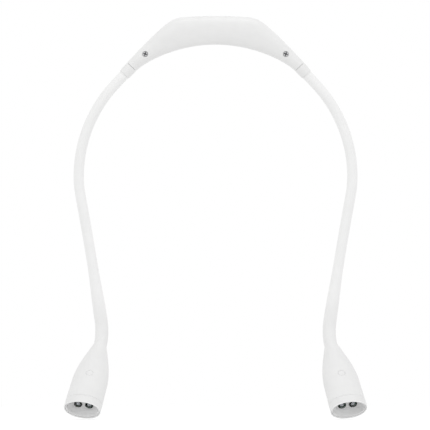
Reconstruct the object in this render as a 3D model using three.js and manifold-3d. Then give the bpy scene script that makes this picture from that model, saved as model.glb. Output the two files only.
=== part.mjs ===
// A neck reading light: a curved battery housing that lies behind the neck, two bendable arms
// and two lamp heads with a pair of lights in each.
// Millimetres. +Z is up, +X is to the right from the front, and the front faces -Y.
// The origin is the top of the housing's inner arch, where the light rests on the neck.
import * as THREE from "three";
import { mergeVertices } from "three/addons/utils/BufferGeometryUtils.js";
import Module from "manifold-3d";

const wasm = await Module();
wasm.setup();

const degree = Math.PI / 180;
const bothSides = [-1, 1];

// Fits
const gap = 0.3; // between pieces that touch or slide
const overrun = 2; // how far a cut runs past the face that it opens
const cornerRound = 0.4; // small rounded edges

// Housing outline, for the right half
const middleHeight = 24;
const halfSpan = 70; // from the middle to the centre of the end face
const endDrop = 18.35; // the end face's centre, below the top of the inner arch
const armSplay = 43 * degree; // how far the arms leave outwards of straight down
const crownHalf = 27.6; // half the length of the gently curved top
const crownSag = 1.1;
const shoulderReach = 33.4; // where the lines of the top and the slope would cross
const flankLength = 38; // of the slope's line from the end face, before it bows to the shoulder
const archReach = 33.2; // how far the inner arch stays near level
const archTail = 9.3; // and how far it follows the arm's direction at its end
const endRadius = 5.2;
const middleDepth = 19;
const depthFallShare = 2.2; // how late the depth narrows towards the ends
const middleSquareness = 2.5; // 2 is an ellipse, more is squarer

// Housing shells
const shellWall = 1.8;
const cavityShare = 0.9; // of the way from the middle to an end
const seamShare = 0.88;
const tongueInset = 1.1; // from the housing's face
const tongueThickness = 0.75;
const tongueHeight = 1.2;
const spigotRadius = 3.7;
const spigotLength = 8;
const boreClear = 1; // of the bore behind the spigot

// Housing screws and what they hold
const screwShare = 0.8; // of the way from the middle to an end
const screwLift = 0.4; // from the middle of the cross-section towards the top
const screwHeadRadius = 2.6;
const screwHeadHeight = 1.3;
const screwHeadSink = 0.6; // below the housing's face
const screwShankRadius = 1.2;
const screwLength = 9;
const crossLength = 3;
const crossWidth = 0.7;
const crossDepth = 0.8;
const headBossRadius = 4; // of the front boss, around the screw's head
const bossRadius = 3;

// Battery and charge board
const batteryLength = 44;
const batteryHeight = 13;
const batteryThickness = 5.6;
const batteryRound = 1.5;
const batteryBack = 0.3; // of its rear face, behind the seam
const innardsZ = 11; // height of the middle of the battery, board and socket
const cradleSpacing = 15;
const cradleThickness = 1.2;
const boardLength = 40;
const boardHeight = 11;
const boardThickness = 1;
const boardBehind = 1.3; // from the battery to the board
const postRadius = 1.4;
const postInset = 2.6; // from the board's edges
const pinRadius = 0.7;

// Charging socket, its land and the charge light
const socketWidth = 7.6;
const socketHeight = 2.7;
const socketWall = 0.4;
const socketTongueWidth = 4.6;
const socketTongueHeight = 0.5;
const landWidth = 21;
const landHeight = 7;
const landDepth = 0.8;
const landRound = 2;
const landBacking = 2;
const chargeLightX = 7.5;
const chargeLightRadius = 1;

// Arms: a soft sleeve over a bendable core, divided where it bends
const sleeveRadius = 4.3;
const bootRadius = 5.45;
const bootTaper = 50; // the length over which the sleeve thickens
const bootRun = 23.3; // from there to the head
const boreRadius = 2;
const coreRadius = 1.7;
const collarLength = 8.9;
const ballAhead = 0.8; // of the first ball's centre before the collar's mouth
const ferruleRadius = 2.9;
const ferruleBehind = 8; // of the ferrule's end behind the housing's end face
const ferruleGrip = 2.9; // how far the tab reaches into the ferrule
const tabThickness = 1.2;
const tabHalfWidth = 2.1;
const upperRun = 11.8; // straight, out of the collar
const upperBendRadius = 112.1;
const innerBendRadius = 89.4;
const armInward = 10.5 * degree; // how far the arm leans inwards below its widest place
const armReturn = 8.2 * degree; // and how far it still does before the head
const lowerRun = 105.3;
const headBendRadius = 28;
const armPieces = 5;

// Lamp heads
const headLean = 15.4 * degree; // outwards, seen from the front
const headTilt = 42 * degree; // of the mouth towards the front
const headRoll = 11 * degree; // about the head's own axis
const headLength = 75;
const flareStart = 0.5;
const flareLength = 43;
const bodyHalfWidth = 14;
const bodyHalfDepth = 9.8;
const mouthHalfWidth = 15.7;
const mouthHalfDepth = 10.4;
const headSquareness = 2.1;
const coverWall = 1.4;
const hollowStart = 10; // of the cover's inner space
const frameWall = 1.2;
const frameSocketLength = 11;
const anchorRadius = 1.7;
const anchorLength = 22;

// Bezel and bowl
const bezelLength = 7.9; // from its seam to the mouth
const bezelWall = 1.1;
const bezelSpigot = 5;
const lipRound = 0.35;
const bowlFloor = 5.5; // below the mouth
const bowlFloorThickness = 1.1;
const bowlRim = 0.7;
const bowlSpread = 2.3; // how much narrower the floor is than the rim, each side

// Lights
const lightSpacing = 9.4;
const bulbRadius = 2.5;
const bulbFlange = 0.4;
const bulbFlangeHeight = 1;
const bulbBodyHeight = 4;
const cupRadius = 3.3;
const cupRimHeight = 1; // above the bowl's floor
const cupRimLip = 0.25;
const cupFlange = 1;
const cupFlangeHeight = 1.3;
const lightBoardThickness = 1;

// Power button and its switch
const buttonAlong = 42.5; // from the head's root
const buttonRadius = 3;
const buttonProud = 0.4;
const buttonCrown = 0.3;
const buttonFlange = 1;
const buttonFlangeHeight = 1;
const buttonFlangeSink = 0.8; // below the middle of the cover's inner face
const buttonStemRadius = 1.5;
const buttonStemLength = 1.2;
const buttonTravel = 0.6;
const switchSize = 6;
const switchHeight = 3.2;
const switchTipRadius = 1.6;
const switchTipHeight = 0.7;
const switchBoardWidth = 12;
const switchBoardLength = 14;
const switchBoardThickness = 1;
const shelfThickness = 1;

// Facets
const housingSides = 16;
const stationPlaceShares = [0, 0.14, 0.28, 0.34, 0.39, 0.44, 0.56, 0.7, 0.85, 1]; // most at the shoulder
const headSides = 20;
const innerSides = 16;
const sleeveSides = 12;
const sleeveSteps = [5, 5, 5, 3, 8]; // along each piece, most where it bends
const ballRings = 3;
const bowlRings = 3;
const turnedSides = 12;
const smallSides = 8;

const materials = {
  white_shell: new THREE.MeshStandardMaterial({ color: 0xf1f1f0, roughness: 0.45, metalness: 0 }),
  white_soft: new THREE.MeshStandardMaterial({ color: 0xeeeeed, roughness: 0.6, metalness: 0 }),
  white_bowl: new THREE.MeshStandardMaterial({ color: 0xe9e9e8, roughness: 0.35, metalness: 0 }),
  steel: new THREE.MeshStandardMaterial({ color: 0x9a9da1, roughness: 0.35, metalness: 1 }),
  core_wire: new THREE.MeshStandardMaterial({ color: 0x77797c, roughness: 0.5, metalness: 1 }),
  dark_chrome: new THREE.MeshStandardMaterial({ color: 0x3c3e41, roughness: 0.2, metalness: 1 }),
  clear_lens: new THREE.MeshStandardMaterial({ color: 0xe8ecef, roughness: 0.08, metalness: 0 }),
  board_green: new THREE.MeshStandardMaterial({ color: 0x1f5a3a, roughness: 0.5, metalness: 0 }),
  black_plastic: new THREE.MeshStandardMaterial({ color: 0x1c1c1e, roughness: 0.5, metalness: 0 }),
  cell_wrap: new THREE.MeshStandardMaterial({ color: 0xb9bdc2, roughness: 0.4, metalness: 0.3 }),
};

// Solids and cuts

function facesOut(geometry) {
  const at = geometry.attributes.position;
  const faces = geometry.index.array;
  const corners = [new THREE.Vector3(), new THREE.Vector3(), new THREE.Vector3()];
  let volume = 0;
  for (let f = 0; f < faces.length; f += 3) {
    corners.forEach((corner, k) => corner.fromBufferAttribute(at, faces[f + k]));
    volume += corners[0].dot(corners[1].clone().cross(corners[2]));
  }
  if (volume < 0) faces.reverse();
  return geometry;
}

// A closed surface through rings of points: capped at both ends, or with a hole right through.
function loft(rings, through = false) {
  const count = rings[0].length;
  const faces = [];
  const bands = through ? rings.length : rings.length - 1;
  for (let r = 0; r < bands; r += 1) {
    const here = r * count;
    const there = ((r + 1) % rings.length) * count;
    for (let i = 0; i < count; i += 1) {
      const j = (i + 1) % count;
      faces.push(here + i, here + j, there + j, here + i, there + j, there + i);
    }
  }
  if (!through) {
    const last = (rings.length - 1) * count;
    for (let i = 1; i < count - 1; i += 1) {
      faces.push(0, i + 1, i, last, last + i, last + i + 1);
    }
  }
  const points = rings.flat().flatMap((point) => point.toArray());
  const geometry = new THREE.BufferGeometry();
  geometry.setAttribute("position", new THREE.Float32BufferAttribute(points, 3));
  geometry.setIndex(new THREE.Uint32BufferAttribute(faces, 1));
  return facesOut(geometry);
}

function solidOf(geometry) {
  const bare = geometry.clone();
  bare.deleteAttribute("normal");
  bare.deleteAttribute("uv");
  const merged = mergeVertices(bare);
  const kept = [];
  const faces = merged.index.array;
  for (let f = 0; f < faces.length; f += 3) {
    const [a, b, c] = [faces[f], faces[f + 1], faces[f + 2]];
    if (a !== b && b !== c && c !== a) kept.push(a, b, c);
  }
  const vertProperties = new Float32Array(merged.attributes.position.array);
  const mesh = new wasm.Mesh({ numProp: 3, vertProperties, triVerts: new Uint32Array(kept) });
  return new wasm.Manifold(mesh);
}

function geometryOf(solid) {
  const mesh = solid.getMesh();
  const geometry = new THREE.BufferGeometry();
  geometry.setAttribute("position", new THREE.BufferAttribute(mesh.vertProperties, 3));
  geometry.setIndex(new THREE.BufferAttribute(mesh.triVerts, 1));
  return geometry;
}

// The first geometry with others joined on and then others cut away.
function worked(geometry, joined, cut) {
  let solid = solidOf(geometry);
  joined.forEach((piece) => {
    solid = solid.add(solidOf(piece));
  });
  cut.forEach((piece) => {
    solid = solid.subtract(solidOf(piece));
  });
  return geometryOf(solid);
}

function common(first, second) {
  return geometryOf(solidOf(first).intersect(solidOf(second)));
}

// Simple shapes

function boxBetween(low, high) {
  const size = high.map((value, k) => value - low[k]);
  const middle = high.map((value, k) => (value + low[k]) / 2);
  return new THREE.BoxGeometry(...size).translate(...middle);
}

// A body of revolution about +Z from a list of [radius, height] that starts and ends on the axis,
// or comes back to its first point.
function turned(profile, sides = turnedSides) {
  const points = profile.map(([radius, height]) => new THREE.Vector2(radius, height));
  return new THREE.LatheGeometry(points, sides).rotateX(Math.PI / 2);
}

function rod(radius, from, to, sides = turnedSides) {
  return turned([[0, from], [radius, from], [radius, to], [0, to]], sides);
}

// A rod along Y.
function rodAcross(radius, x, z, from, to, sides = turnedSides) {
  return rod(radius, from, to, sides).rotateX(-Math.PI / 2).translate(x, 0, z);
}

function roundedRectangle(width, height, round) {
  const [x, y] = [width / 2, height / 2];
  const shape = new THREE.Shape();
  shape.moveTo(x, y - round);
  shape.absarc(x - round, y - round, round, 0, Math.PI / 2);
  shape.absarc(round - x, y - round, round, Math.PI / 2, Math.PI);
  shape.absarc(round - x, round - y, round, Math.PI, 1.5 * Math.PI);
  shape.absarc(x - round, round - y, round, 1.5 * Math.PI, 2 * Math.PI);
  return shape;
}

// A rounded plate whose outline lies in XZ and whose thickness runs along Y.
function plateAcross(width, height, round, x, z, from, to) {
  const settings = { depth: to - from, bevelEnabled: false, curveSegments: 3 };
  const plate = new THREE.ExtrudeGeometry(roundedRectangle(width, height, round), settings);
  return plate.rotateX(-Math.PI / 2).translate(x, from, z);
}

function power(value, exponent) {
  return Math.sign(value) * Math.abs(value) ** exponent;
}

// A ring of points: an oval with half sizes along two directions, squarer with a larger squareness.
function ovalRing(centre, right, front, halfWidth, halfDepth, squareness, sides) {
  return Array.from({ length: sides }, (_, i) => {
    const turn = (2 * Math.PI * i) / sides;
    const across = halfWidth * power(Math.cos(turn), 2 / squareness);
    const along = halfDepth * power(Math.sin(turn), 2 / squareness);
    return centre.clone().addScaledVector(right, across).addScaledVector(front, along);
  });
}

// Housing

const armHeading = new THREE.Vector2(Math.sin(armSplay), -Math.cos(armSplay));
const endCentre = new THREE.Vector2(halfSpan, -endDrop);
const endAcross = new THREE.Vector2(Math.cos(armSplay), Math.sin(armSplay)).multiplyScalar(endRadius);
const upperEnd = endCentre.clone().add(endAcross);
const lowerEnd = endCentre.clone().sub(endAcross);

// The top: a gentle crown, a round shoulder and a slightly bowed slope to the end face.
function upperOutline() {
  const crownEnd = new THREE.Vector2(crownHalf, middleHeight - crownSag);
  const fall = (2 * crownSag) / crownHalf;
  const shoulder = new THREE.Vector2(shoulderReach, crownEnd.y - fall * (shoulderReach - crownHalf));
  const flank = upperEnd.clone().addScaledVector(armHeading, -flankLength);
  const slope = flank.clone().sub(shoulder).normalize();
  const slopeStart = shoulder.clone().addScaledVector(slope, shoulder.distanceTo(crownEnd));
  const path = new THREE.Path();
  path.moveTo(0, middleHeight);
  path.quadraticCurveTo(crownHalf / 2, middleHeight, crownEnd.x, crownEnd.y);
  path.quadraticCurveTo(shoulder.x, shoulder.y, slopeStart.x, slopeStart.y);
  path.quadraticCurveTo(flank.x, flank.y, upperEnd.x, upperEnd.y);
  return path;
}

// The inner arch: level in the middle, and along the arm at the end face's lower corner.
function lowerOutline() {
  const middle = new THREE.Vector2(0, 0);
  const level = new THREE.Vector2(archReach, 0);
  const tail = lowerEnd.clone().addScaledVector(armHeading, -archTail);
  return new THREE.CubicBezierCurve(middle, level, tail, lowerEnd);
}

const upper = upperOutline();
const lower = lowerOutline();

// The housing's cross-section at a share of the way, from -1 at the left end to 1 at the right.
function sectionAt(share) {
  const side = Math.sign(share) || 1;
  const top = upper.getPointAt(Math.abs(share));
  const bottom = lower.getPointAt(Math.abs(share));
  const up = new THREE.Vector3((top.x - bottom.x) * side, 0, top.y - bottom.y);
  return {
    centre: new THREE.Vector3(((top.x + bottom.x) / 2) * side, 0, (top.y + bottom.y) / 2),
    halfHeight: up.length() / 2,
    up: up.normalize(),
    halfDepth: THREE.MathUtils.lerp(middleDepth / 2, endRadius, Math.abs(share) ** depthFallShare),
    squareness: THREE.MathUtils.lerp(middleSquareness, 2, Math.abs(share)),
  };
}

function housingRing(share, inset) {
  const { centre, up, halfHeight, halfDepth, squareness } = sectionAt(share);
  const back = new THREE.Vector3(0, 1, 0);
  return ovalRing(centre, up, back, halfHeight - inset, halfDepth - inset, squareness, housingSides);
}

// The front (-1) or rear (1) half of a ring, closed by a flat edge at a given Y.
function halfRing(share, inset, facing, edge) {
  const whole = housingRing(share, inset);
  const first = facing < 0 ? housingSides / 2 : 0;
  const arc = Array.from({ length: housingSides / 2 + 1 }, (_, i) => whole[(first + i) % housingSides]);
  const edges = [arc.at(-1), arc[0]].map((point) => point.clone().setY(edge));
  if (edge * facing > 0) return [edges[1], ...arc.slice(1, -1), edges[0]];
  return [...arc, ...edges];
}

function stationShares(reachShare) {
  const right = stationPlaceShares.map((share) => share * reachShare);
  return [...right.slice(1).map((share) => -share).toReversed(), ...right];
}

function housingForm(inset, reachShare) {
  return loft(stationShares(reachShare).map((share) => housingRing(share, inset)));
}

// Half of the hollow housing, up to the seam.
function housingHalf(facing) {
  const outside = loft(stationShares(1).map((share) => halfRing(share, 0, facing, (facing * gap) / 2)));
  const inside = stationShares(cavityShare).map((share) =>
    halfRing(share, shellWall, facing, -facing * overrun),
  );
  return worked(outside, [], [loft(inside)]);
}

// Two strips along the seam, over and under the cavity, between two depths of the wall.
function seamStrips(outerInset, innerInset, fromY, toY) {
  return bothSides.map((edge) =>
    loft(stationShares(seamShare).map((share) => {
      const { centre, up, halfHeight } = sectionAt(share);
      const corner = (inset, y) =>
        centre.clone().addScaledVector(up, edge * (halfHeight - inset)).setY(y);
      return [
        corner(outerInset, fromY),
        corner(outerInset, toY),
        corner(innerInset, toY),
        corner(innerInset, fromY),
      ];
    })),
  );
}

const bossForm = housingForm(shellWall / 2, cavityShare);

const atScrew = sectionAt(screwShare);
const { x: screwX, z: screwZ } = atScrew.centre.clone().addScaledVector(atScrew.up, screwLift);
const faceAtScrew = atScrew.halfDepth;
const screwSeat = -(faceAtScrew - screwHeadSink - screwHeadHeight);
const screwTip = screwSeat + screwLength;
const boardFront = batteryBack + boardBehind;
const boardBack = boardFront + boardThickness;
const landFace = middleDepth / 2 - landDepth;
const postPlaces = bothSides.flatMap((x) =>
  bothSides.map((z) => [
    x * (boardLength / 2 - postInset),
    innardsZ + z * (boardHeight / 2 - postInset),
  ]),
);

// The bore in each end that takes the collar's spigot.
function endBore(side, radius) {
  return rod(radius, -spigotLength - boreClear, overrun).applyMatrix4(armRootMatrix(side));
}

function frontShell() {
  const tongues = seamStrips(tongueInset, tongueInset + tongueThickness, -shellWall / 2, tongueHeight);
  const bosses = bothSides.map((side) => {
    const boss = rodAcross(headBossRadius, side * screwX, screwZ, -middleDepth, -tabThickness / 2 - gap);
    return common(boss, bossForm);
  });
  const cradle = [-1, 0, 1].map((place) => {
    const x = place * cradleSpacing;
    const low = [x - cradleThickness / 2, -middleDepth, -middleHeight];
    const high = [x + cradleThickness / 2, batteryBack - batteryThickness - gap, 2 * middleHeight];
    return common(boxBetween(low, high), bossForm);
  });
  const holes = bothSides.flatMap((side) => [
    rodAcross(screwShankRadius + gap, side * screwX, screwZ, -middleDepth, overrun),
    rodAcross(screwHeadRadius + gap, side * screwX, screwZ, -middleDepth, screwSeat),
    endBore(side, spigotRadius + gap),
  ]);
  return worked(housingHalf(-1), [...tongues, ...bosses, ...cradle], holes);
}

function rearShell() {
  const rebates = seamStrips(tongueInset - gap, shellWall + overrun, -overrun, tongueHeight + gap);
  const shell = worked(housingHalf(1), [], rebates);
  const bosses = bothSides.map((side) => {
    const boss = rodAcross(bossRadius, side * screwX, screwZ, tabThickness / 2 + gap, middleDepth);
    return common(boss, bossForm);
  });
  const posts = postPlaces.flatMap(([x, z]) => [
    common(rodAcross(postRadius, x, z, boardBack + gap, middleDepth, smallSides), bossForm),
    rodAcross(pinRadius, x, z, boardFront - gap, boardBack + 2 * gap, smallSides),
  ]);
  const low = [-landWidth / 2, landFace - landBacking, innardsZ - landHeight / 2];
  const high = [landWidth / 2, middleDepth, innardsZ + landHeight / 2];
  const backing = common(boxBetween(low, high), bossForm);
  const [slotWidth, slotHeight] = [socketWidth + 2 * gap, socketHeight + 2 * gap];
  const slotRound = slotHeight / 4;
  const holes = bothSides.flatMap((side) => [
    rodAcross(screwShankRadius + gap, side * screwX, screwZ, -overrun, screwTip + gap),
    endBore(side, spigotRadius + gap),
  ]);
  holes.push(
    plateAcross(landWidth, landHeight, landRound, 0, innardsZ, landFace, middleDepth),
    plateAcross(slotWidth, slotHeight, slotRound, 0, innardsZ, 0, middleDepth),
    rodAcross(chargeLightRadius + gap, chargeLightX, innardsZ, 0, middleDepth),
  );
  return worked(shell, [...bosses, ...posts, backing], holes);
}

function housingScrew() {
  const head = [
    [0, -screwHeadHeight],
    [screwHeadRadius - cornerRound, -screwHeadHeight],
    [screwHeadRadius, cornerRound - screwHeadHeight],
    [screwHeadRadius, 0],
    [screwShankRadius, 0],
    [screwShankRadius, screwLength - screwShankRadius],
    [0, screwLength],
  ];
  const blade = [crossLength / 2, crossWidth / 2, crossDepth];
  const floor = crossDepth - screwHeadHeight;
  const slots = [[0, 1], [1, 0]].map(([a, b]) =>
    boxBetween(
      [-blade[a], -blade[b], -screwHeadHeight - overrun],
      [blade[a], blade[b], floor],
    ),
  );
  return worked(turned(head), [], slots).rotateX(-Math.PI / 2);
}

function batteryCell() {
  const [front, back] = [batteryBack - batteryThickness, batteryBack];
  return plateAcross(batteryLength, batteryHeight, batteryRound, 0, innardsZ, front, back);
}

function chargeBoard() {
  const low = [-boardLength / 2, boardFront, innardsZ - boardHeight / 2];
  const high = [boardLength / 2, boardBack, innardsZ + boardHeight / 2];
  const holes = postPlaces.map(([x, z]) =>
    rodAcross(pinRadius + gap, x, z, boardFront - overrun, boardBack + overrun, smallSides),
  );
  return worked(boxBetween(low, high), [], holes);
}

function chargeSocket() {
  const [from, to] = [boardBack + gap, landFace - gap];
  const back = from + 2 * socketWall;
  const round = socketHeight / 4;
  const inner = [socketWidth - 2 * socketWall, socketHeight - 2 * socketWall];
  const shell = plateAcross(socketWidth, socketHeight, round, 0, innardsZ, from, to);
  const hollow = plateAcross(...inner, round - socketWall / 2, 0, innardsZ, back, to + overrun);
  const tongue = boxBetween(
    [-socketTongueWidth / 2, from, innardsZ - socketTongueHeight / 2],
    [socketTongueWidth / 2, to - socketHeight / 2, innardsZ + socketTongueHeight / 2],
  );
  return geometryOf(solidOf(worked(shell, [], [hollow])).add(solidOf(tongue)));
}

function chargeLight() {
  return rodAcross(chargeLightRadius, chargeLightX, innardsZ, boardBack + gap, landFace - gap);
}

// Arm roots: the collar and the anchor, made along +Z from the housing's end face.

function armRootMatrix(side) {
  const along = new THREE.Vector3(armHeading.x * side, 0, armHeading.y);
  const back = new THREE.Vector3(0, 1, 0);
  const across = back.clone().cross(along);
  const matrix = new THREE.Matrix4().makeBasis(across, back, along);
  return matrix.setPosition(endCentre.x * side, 0, endCentre.y);
}

// Points [radius, height] of an arc about a centre on the axis, from one radius to another.
function arcPoints(centreHeight, radius, fromRadius, toRadius, direction, steps) {
  const start = Math.asin(fromRadius / radius);
  const end = Math.asin(toRadius / radius);
  return Array.from({ length: steps + 1 }, (_, i) => {
    const turn = start + ((end - start) * i) / steps;
    return [radius * Math.sin(turn), centreHeight + direction * radius * Math.cos(turn)];
  });
}

const firstBall = collarLength + ballAhead;

function collar() {
  const bore = ferruleRadius + gap;
  const socketRadius = sleeveRadius + gap;
  const mouthInner = Math.sqrt(socketRadius ** 2 - ballAhead ** 2);
  const profile = [
    [bore, -spigotLength],
    [spigotRadius, -spigotLength],
    [spigotRadius, gap],
    [endRadius, gap],
    [endRadius, collarLength - cornerRound],
    [endRadius - cornerRound, collarLength],
    ...arcPoints(firstBall, socketRadius, mouthInner, bore, -1, ballRings),
    [bore, -spigotLength],
  ];
  return turned(profile, 2 * smallSides);
}

// A crimped ferrule on the arm's core, with a flat eye that the housing screw goes through.
function armAnchor(side) {
  const screwPlace = new THREE.Vector3(side * screwX, 0, screwZ);
  const eye = screwPlace.applyMatrix4(armRootMatrix(side).invert());
  const eyeRadius = screwShankRadius + gap;
  const shape = new THREE.Shape();
  shape.moveTo(tabHalfWidth, ferruleGrip - ferruleBehind);
  shape.lineTo(eye.x + bossRadius, eye.z);
  shape.absarc(eye.x, eye.z, bossRadius, 0, -Math.PI, true);
  shape.lineTo(-tabHalfWidth, ferruleGrip - ferruleBehind);
  const hole = new THREE.Path();
  hole.absarc(eye.x, eye.z, eyeRadius, 0, 2 * Math.PI);
  shape.holes.push(hole);
  const settings = { depth: tabThickness, bevelEnabled: false, curveSegments: 8 };
  const tab = new THREE.ExtrudeGeometry(shape, settings);
  tab.rotateX(Math.PI / 2).translate(0, tabThickness / 2, 0);
  const ferruleEnd = firstBall - sleeveRadius - 2 * gap;
  return worked(rod(ferruleRadius, -ferruleBehind, ferruleEnd), [tab], []);
}

// The arm's middle line, in stretches that each turn the direction evenly.

const headAxis = headFrame(-1).along;

function leftArmStretches() {
  const down = new THREE.Vector3(0, 0, -1);
  const out = new THREE.Vector3(-1, 0, 0);
  const lean = (angle) => down.clone().multiplyScalar(Math.cos(angle)).addScaledVector(out, Math.sin(angle));
  const inwards = lean(-armInward);
  const returned = lean(-armReturn);
  const headTurn = returned.angleTo(headAxis);
  return [
    { run: upperRun, from: lean(armSplay), to: lean(armSplay) },
    { run: upperBendRadius * armSplay, from: lean(armSplay), to: down },
    { run: innerBendRadius * armInward, from: down, to: inwards },
    { run: lowerRun, from: inwards, to: returned },
    { run: headBendRadius * headTurn, from: returned, to: headAxis },
  ];
}

class ArmLine extends THREE.Curve {
  constructor(side, fromLength, toLength) {
    super();
    this.side = side;
    this.fromLength = fromLength;
    this.toLength = toLength;
  }

  // Place and direction at a length along the arm.
  at(length) {
    const place = new THREE.Vector3(-endCentre.x, 0, endCentre.y);
    const start = new THREE.Vector3(-armHeading.x, 0, armHeading.y);
    place.addScaledVector(start, collarLength);
    let left = length;
    let along = start;
    stretches.forEach((stretch, k) => {
      const last = k === stretches.length - 1;
      const run = last ? left : Math.min(left, stretch.run);
      if (left <= 0 && k > 0) return;
      const turn = stretch.from.angleTo(stretch.to);
      const radius = turn > 0 ? stretch.run / turn : 0;
      const angle = turn > 0 ? run / radius : 0;
      if (turn > 0) {
        const inward = stretch.to.clone().addScaledVector(stretch.from, -Math.cos(turn));
        inward.divideScalar(Math.sin(turn));
        place.addScaledVector(stretch.from, radius * Math.sin(angle));
        place.addScaledVector(inward, radius * (1 - Math.cos(angle)));
        along = stretch.from.clone().multiplyScalar(Math.cos(angle));
        along.addScaledVector(inward, Math.sin(angle));
      } else {
        place.addScaledVector(stretch.from, run);
        along = stretch.from.clone();
      }
      left -= run;
    });
    const turnSide = new THREE.Vector3(-this.side, 1, 1);
    return { place: place.multiply(turnSide), along: along.clone().multiply(turnSide) };
  }

  getPoint(share, target = new THREE.Vector3()) {
    const length = this.fromLength + (this.toLength - this.fromLength) * share;
    return target.copy(this.at(length).place);
  }
}

const stretches = leftArmStretches();
const armLength = stretches.reduce((sum, stretch) => sum + stretch.run, 0);
const jointLengths = Array.from(
  { length: armPieces + 1 },
  (_, i) => ballAhead + ((armLength - ballAhead) * i) / armPieces,
);

function sleeveRadiusAt(length) {
  const bootStart = armLength - bootRun - bootTaper;
  const grown = THREE.MathUtils.smoothstep(length, bootStart, bootStart + bootTaper);
  return sleeveRadius + (bootRadius - sleeveRadius) * grown;
}

function ringAcross(centre, along, radius) {
  const back = new THREE.Vector3(0, 1, 0).addScaledVector(along, -along.y).normalize();
  return ovalRing(centre, back.clone().cross(along), back, radius, radius, 2, sleeveSides);
}

// One length of sleeve: a ball at its upper end, and at its lower end a socket for the next ball.
function armSleeve(side, index) {
  const [start, end] = [jointLengths[index], jointLengths[index + 1]];
  const line = new ArmLine(side, start, end);
  const [ball, socket] = [line.at(start), line.at(end)];
  const ballRadius = sleeveRadiusAt(start);
  const endOuter = sleeveRadiusAt(end);
  const socketRadius = endOuter + gap;
  const rimBack = Math.sqrt(socketRadius ** 2 - endOuter ** 2);
  const ringAt = (joint, [radius, height]) =>
    ringAcross(joint.place.clone().addScaledVector(joint.along, height), joint.along, radius);
  const ballRing = (point) => ringAt(ball, point);
  const socketRing = (point) => ringAt(socket, point);
  const steps = sleeveSteps[index];
  const between = Array.from({ length: steps - 1 }, (_, i) => start + ((end - start) * (i + 1)) / steps);
  const alongLine = (length, radius) => {
    const here = line.at(length);
    return ringAcross(here.place, here.along, radius);
  };
  const rings = [
    ...arcPoints(0, ballRadius, boreRadius, ballRadius, -1, ballRings).map(ballRing),
    ...between.map((length) => alongLine(length, sleeveRadiusAt(length))),
    socketRing([endOuter, -rimBack]),
    ...arcPoints(0, socketRadius, endOuter, boreRadius, -1, ballRings).slice(1).map(socketRing),
    ...between.toReversed().map((length) => alongLine(length, boreRadius)),
  ];
  return loft(rings, true);
}

function armCore(side, index) {
  const [start, end] = [jointLengths[index], jointLengths[index + 1]];
  const from = start - sleeveRadiusAt(start) + 3 * gap;
  const to = end - sleeveRadiusAt(end) - 2 * gap;
  const outline = new THREE.Shape();
  outline.absarc(0, 0, coreRadius, 0, 2 * Math.PI);
  const settings = {
    steps: sleeveSteps[index] + 1,
    curveSegments: smallSides / 2,
    bevelEnabled: false,
    extrudePath: new ArmLine(side, from, to),
  };
  return new THREE.ExtrudeGeometry(outline, settings);
}

// Heads, made along +Z from the root to the mouth, with +X to the wide side and +Y to the front.

function headFrame(side) {
  const along = new THREE.Vector3(
    side * Math.sin(headLean) * Math.cos(headTilt),
    -Math.sin(headTilt),
    -Math.cos(headLean) * Math.cos(headTilt),
  );
  const level = new THREE.Vector3(Math.cos(headLean), 0, side * Math.sin(headLean));
  const roll = new THREE.Quaternion().setFromAxisAngle(along, -side * headRoll);
  const wide = level.applyQuaternion(roll);
  return { along, wide, front: along.clone().cross(wide) };
}

function flareAt(along) {
  const share = THREE.MathUtils.clamp((along - flareStart) / flareLength, 0, 1);
  return 1.5 * share - 0.5 * share ** 3;
}

// A cross-section of the head, a wall's thickness in from its outer face.
function headRing(along, inset, sides = headSides) {
  const flare = flareAt(along);
  const reach = (along / headLength) * flare;
  const width = bootRadius + (bodyHalfWidth - bootRadius) * flare + (mouthHalfWidth - bodyHalfWidth) * reach;
  const depth = bootRadius + (bodyHalfDepth - bootRadius) * flare + (mouthHalfDepth - bodyHalfDepth) * reach;
  const squareness = 2 + (headSquareness - 2) * flare;
  return headOval(along, width - inset, depth - inset, squareness, sides);
}

function headOval(along, halfWidth, halfDepth, squareness, sides) {
  const centre = new THREE.Vector3(0, 0, along);
  const wide = new THREE.Vector3(1, 0, 0);
  const front = new THREE.Vector3(0, 1, 0);
  return ovalRing(centre, wide, front, halfWidth, halfDepth, squareness, sides);
}

function roundRing([radius, along], sides = headSides) {
  return headOval(along, radius, radius, 2, sides);
}

function spread(from, to, count) {
  return Array.from({ length: count }, (_, i) => from + ((to - from) * i) / (count - 1));
}

const coverLength = headLength - bezelLength - gap;

// The height of a head's face over its axis, where the button is.
function faceHeight(inset) {
  return headRing(buttonAlong, inset)[headSides / 4].y;
}

function headCover() {
  const rings = [
    ...arcPoints(0, bootRadius, boreRadius, bootRadius, -1, ballRings).map((point) => roundRing(point)),
    headRing(flareStart, 0),
    ...spread(flareStart, flareStart + flareLength, 8).slice(1).map((along) => headRing(along, 0)),
    headRing(coverLength, 0),
    headRing(coverLength, coverWall),
    ...spread(flareStart + flareLength, hollowStart, 6).map((along) => headRing(along, coverWall)),
    roundRing([boreRadius, hollowStart]),
  ];
  const hole = rod(buttonRadius + gap, 0, mouthHalfWidth).rotateX(-Math.PI / 2);
  return worked(loft(rings, true), [], [hole.translate(0, 0, buttonAlong)]);
}

const frameStart = hollowStart + gap;
const frameEnd = coverLength - bezelSpigot - gap;
const frameInset = coverWall + gap;
const flangeTop = faceHeight(coverWall) - buttonFlangeSink;
const stemEnd = flangeTop - buttonFlangeHeight - buttonStemLength;
const tipTop = stemEnd - buttonTravel - gap;
const switchTop = tipTop - switchTipHeight;
const switchBoardTop = switchTop - switchHeight - gap;
const shelfTop = switchBoardTop - switchBoardThickness - gap;

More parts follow.
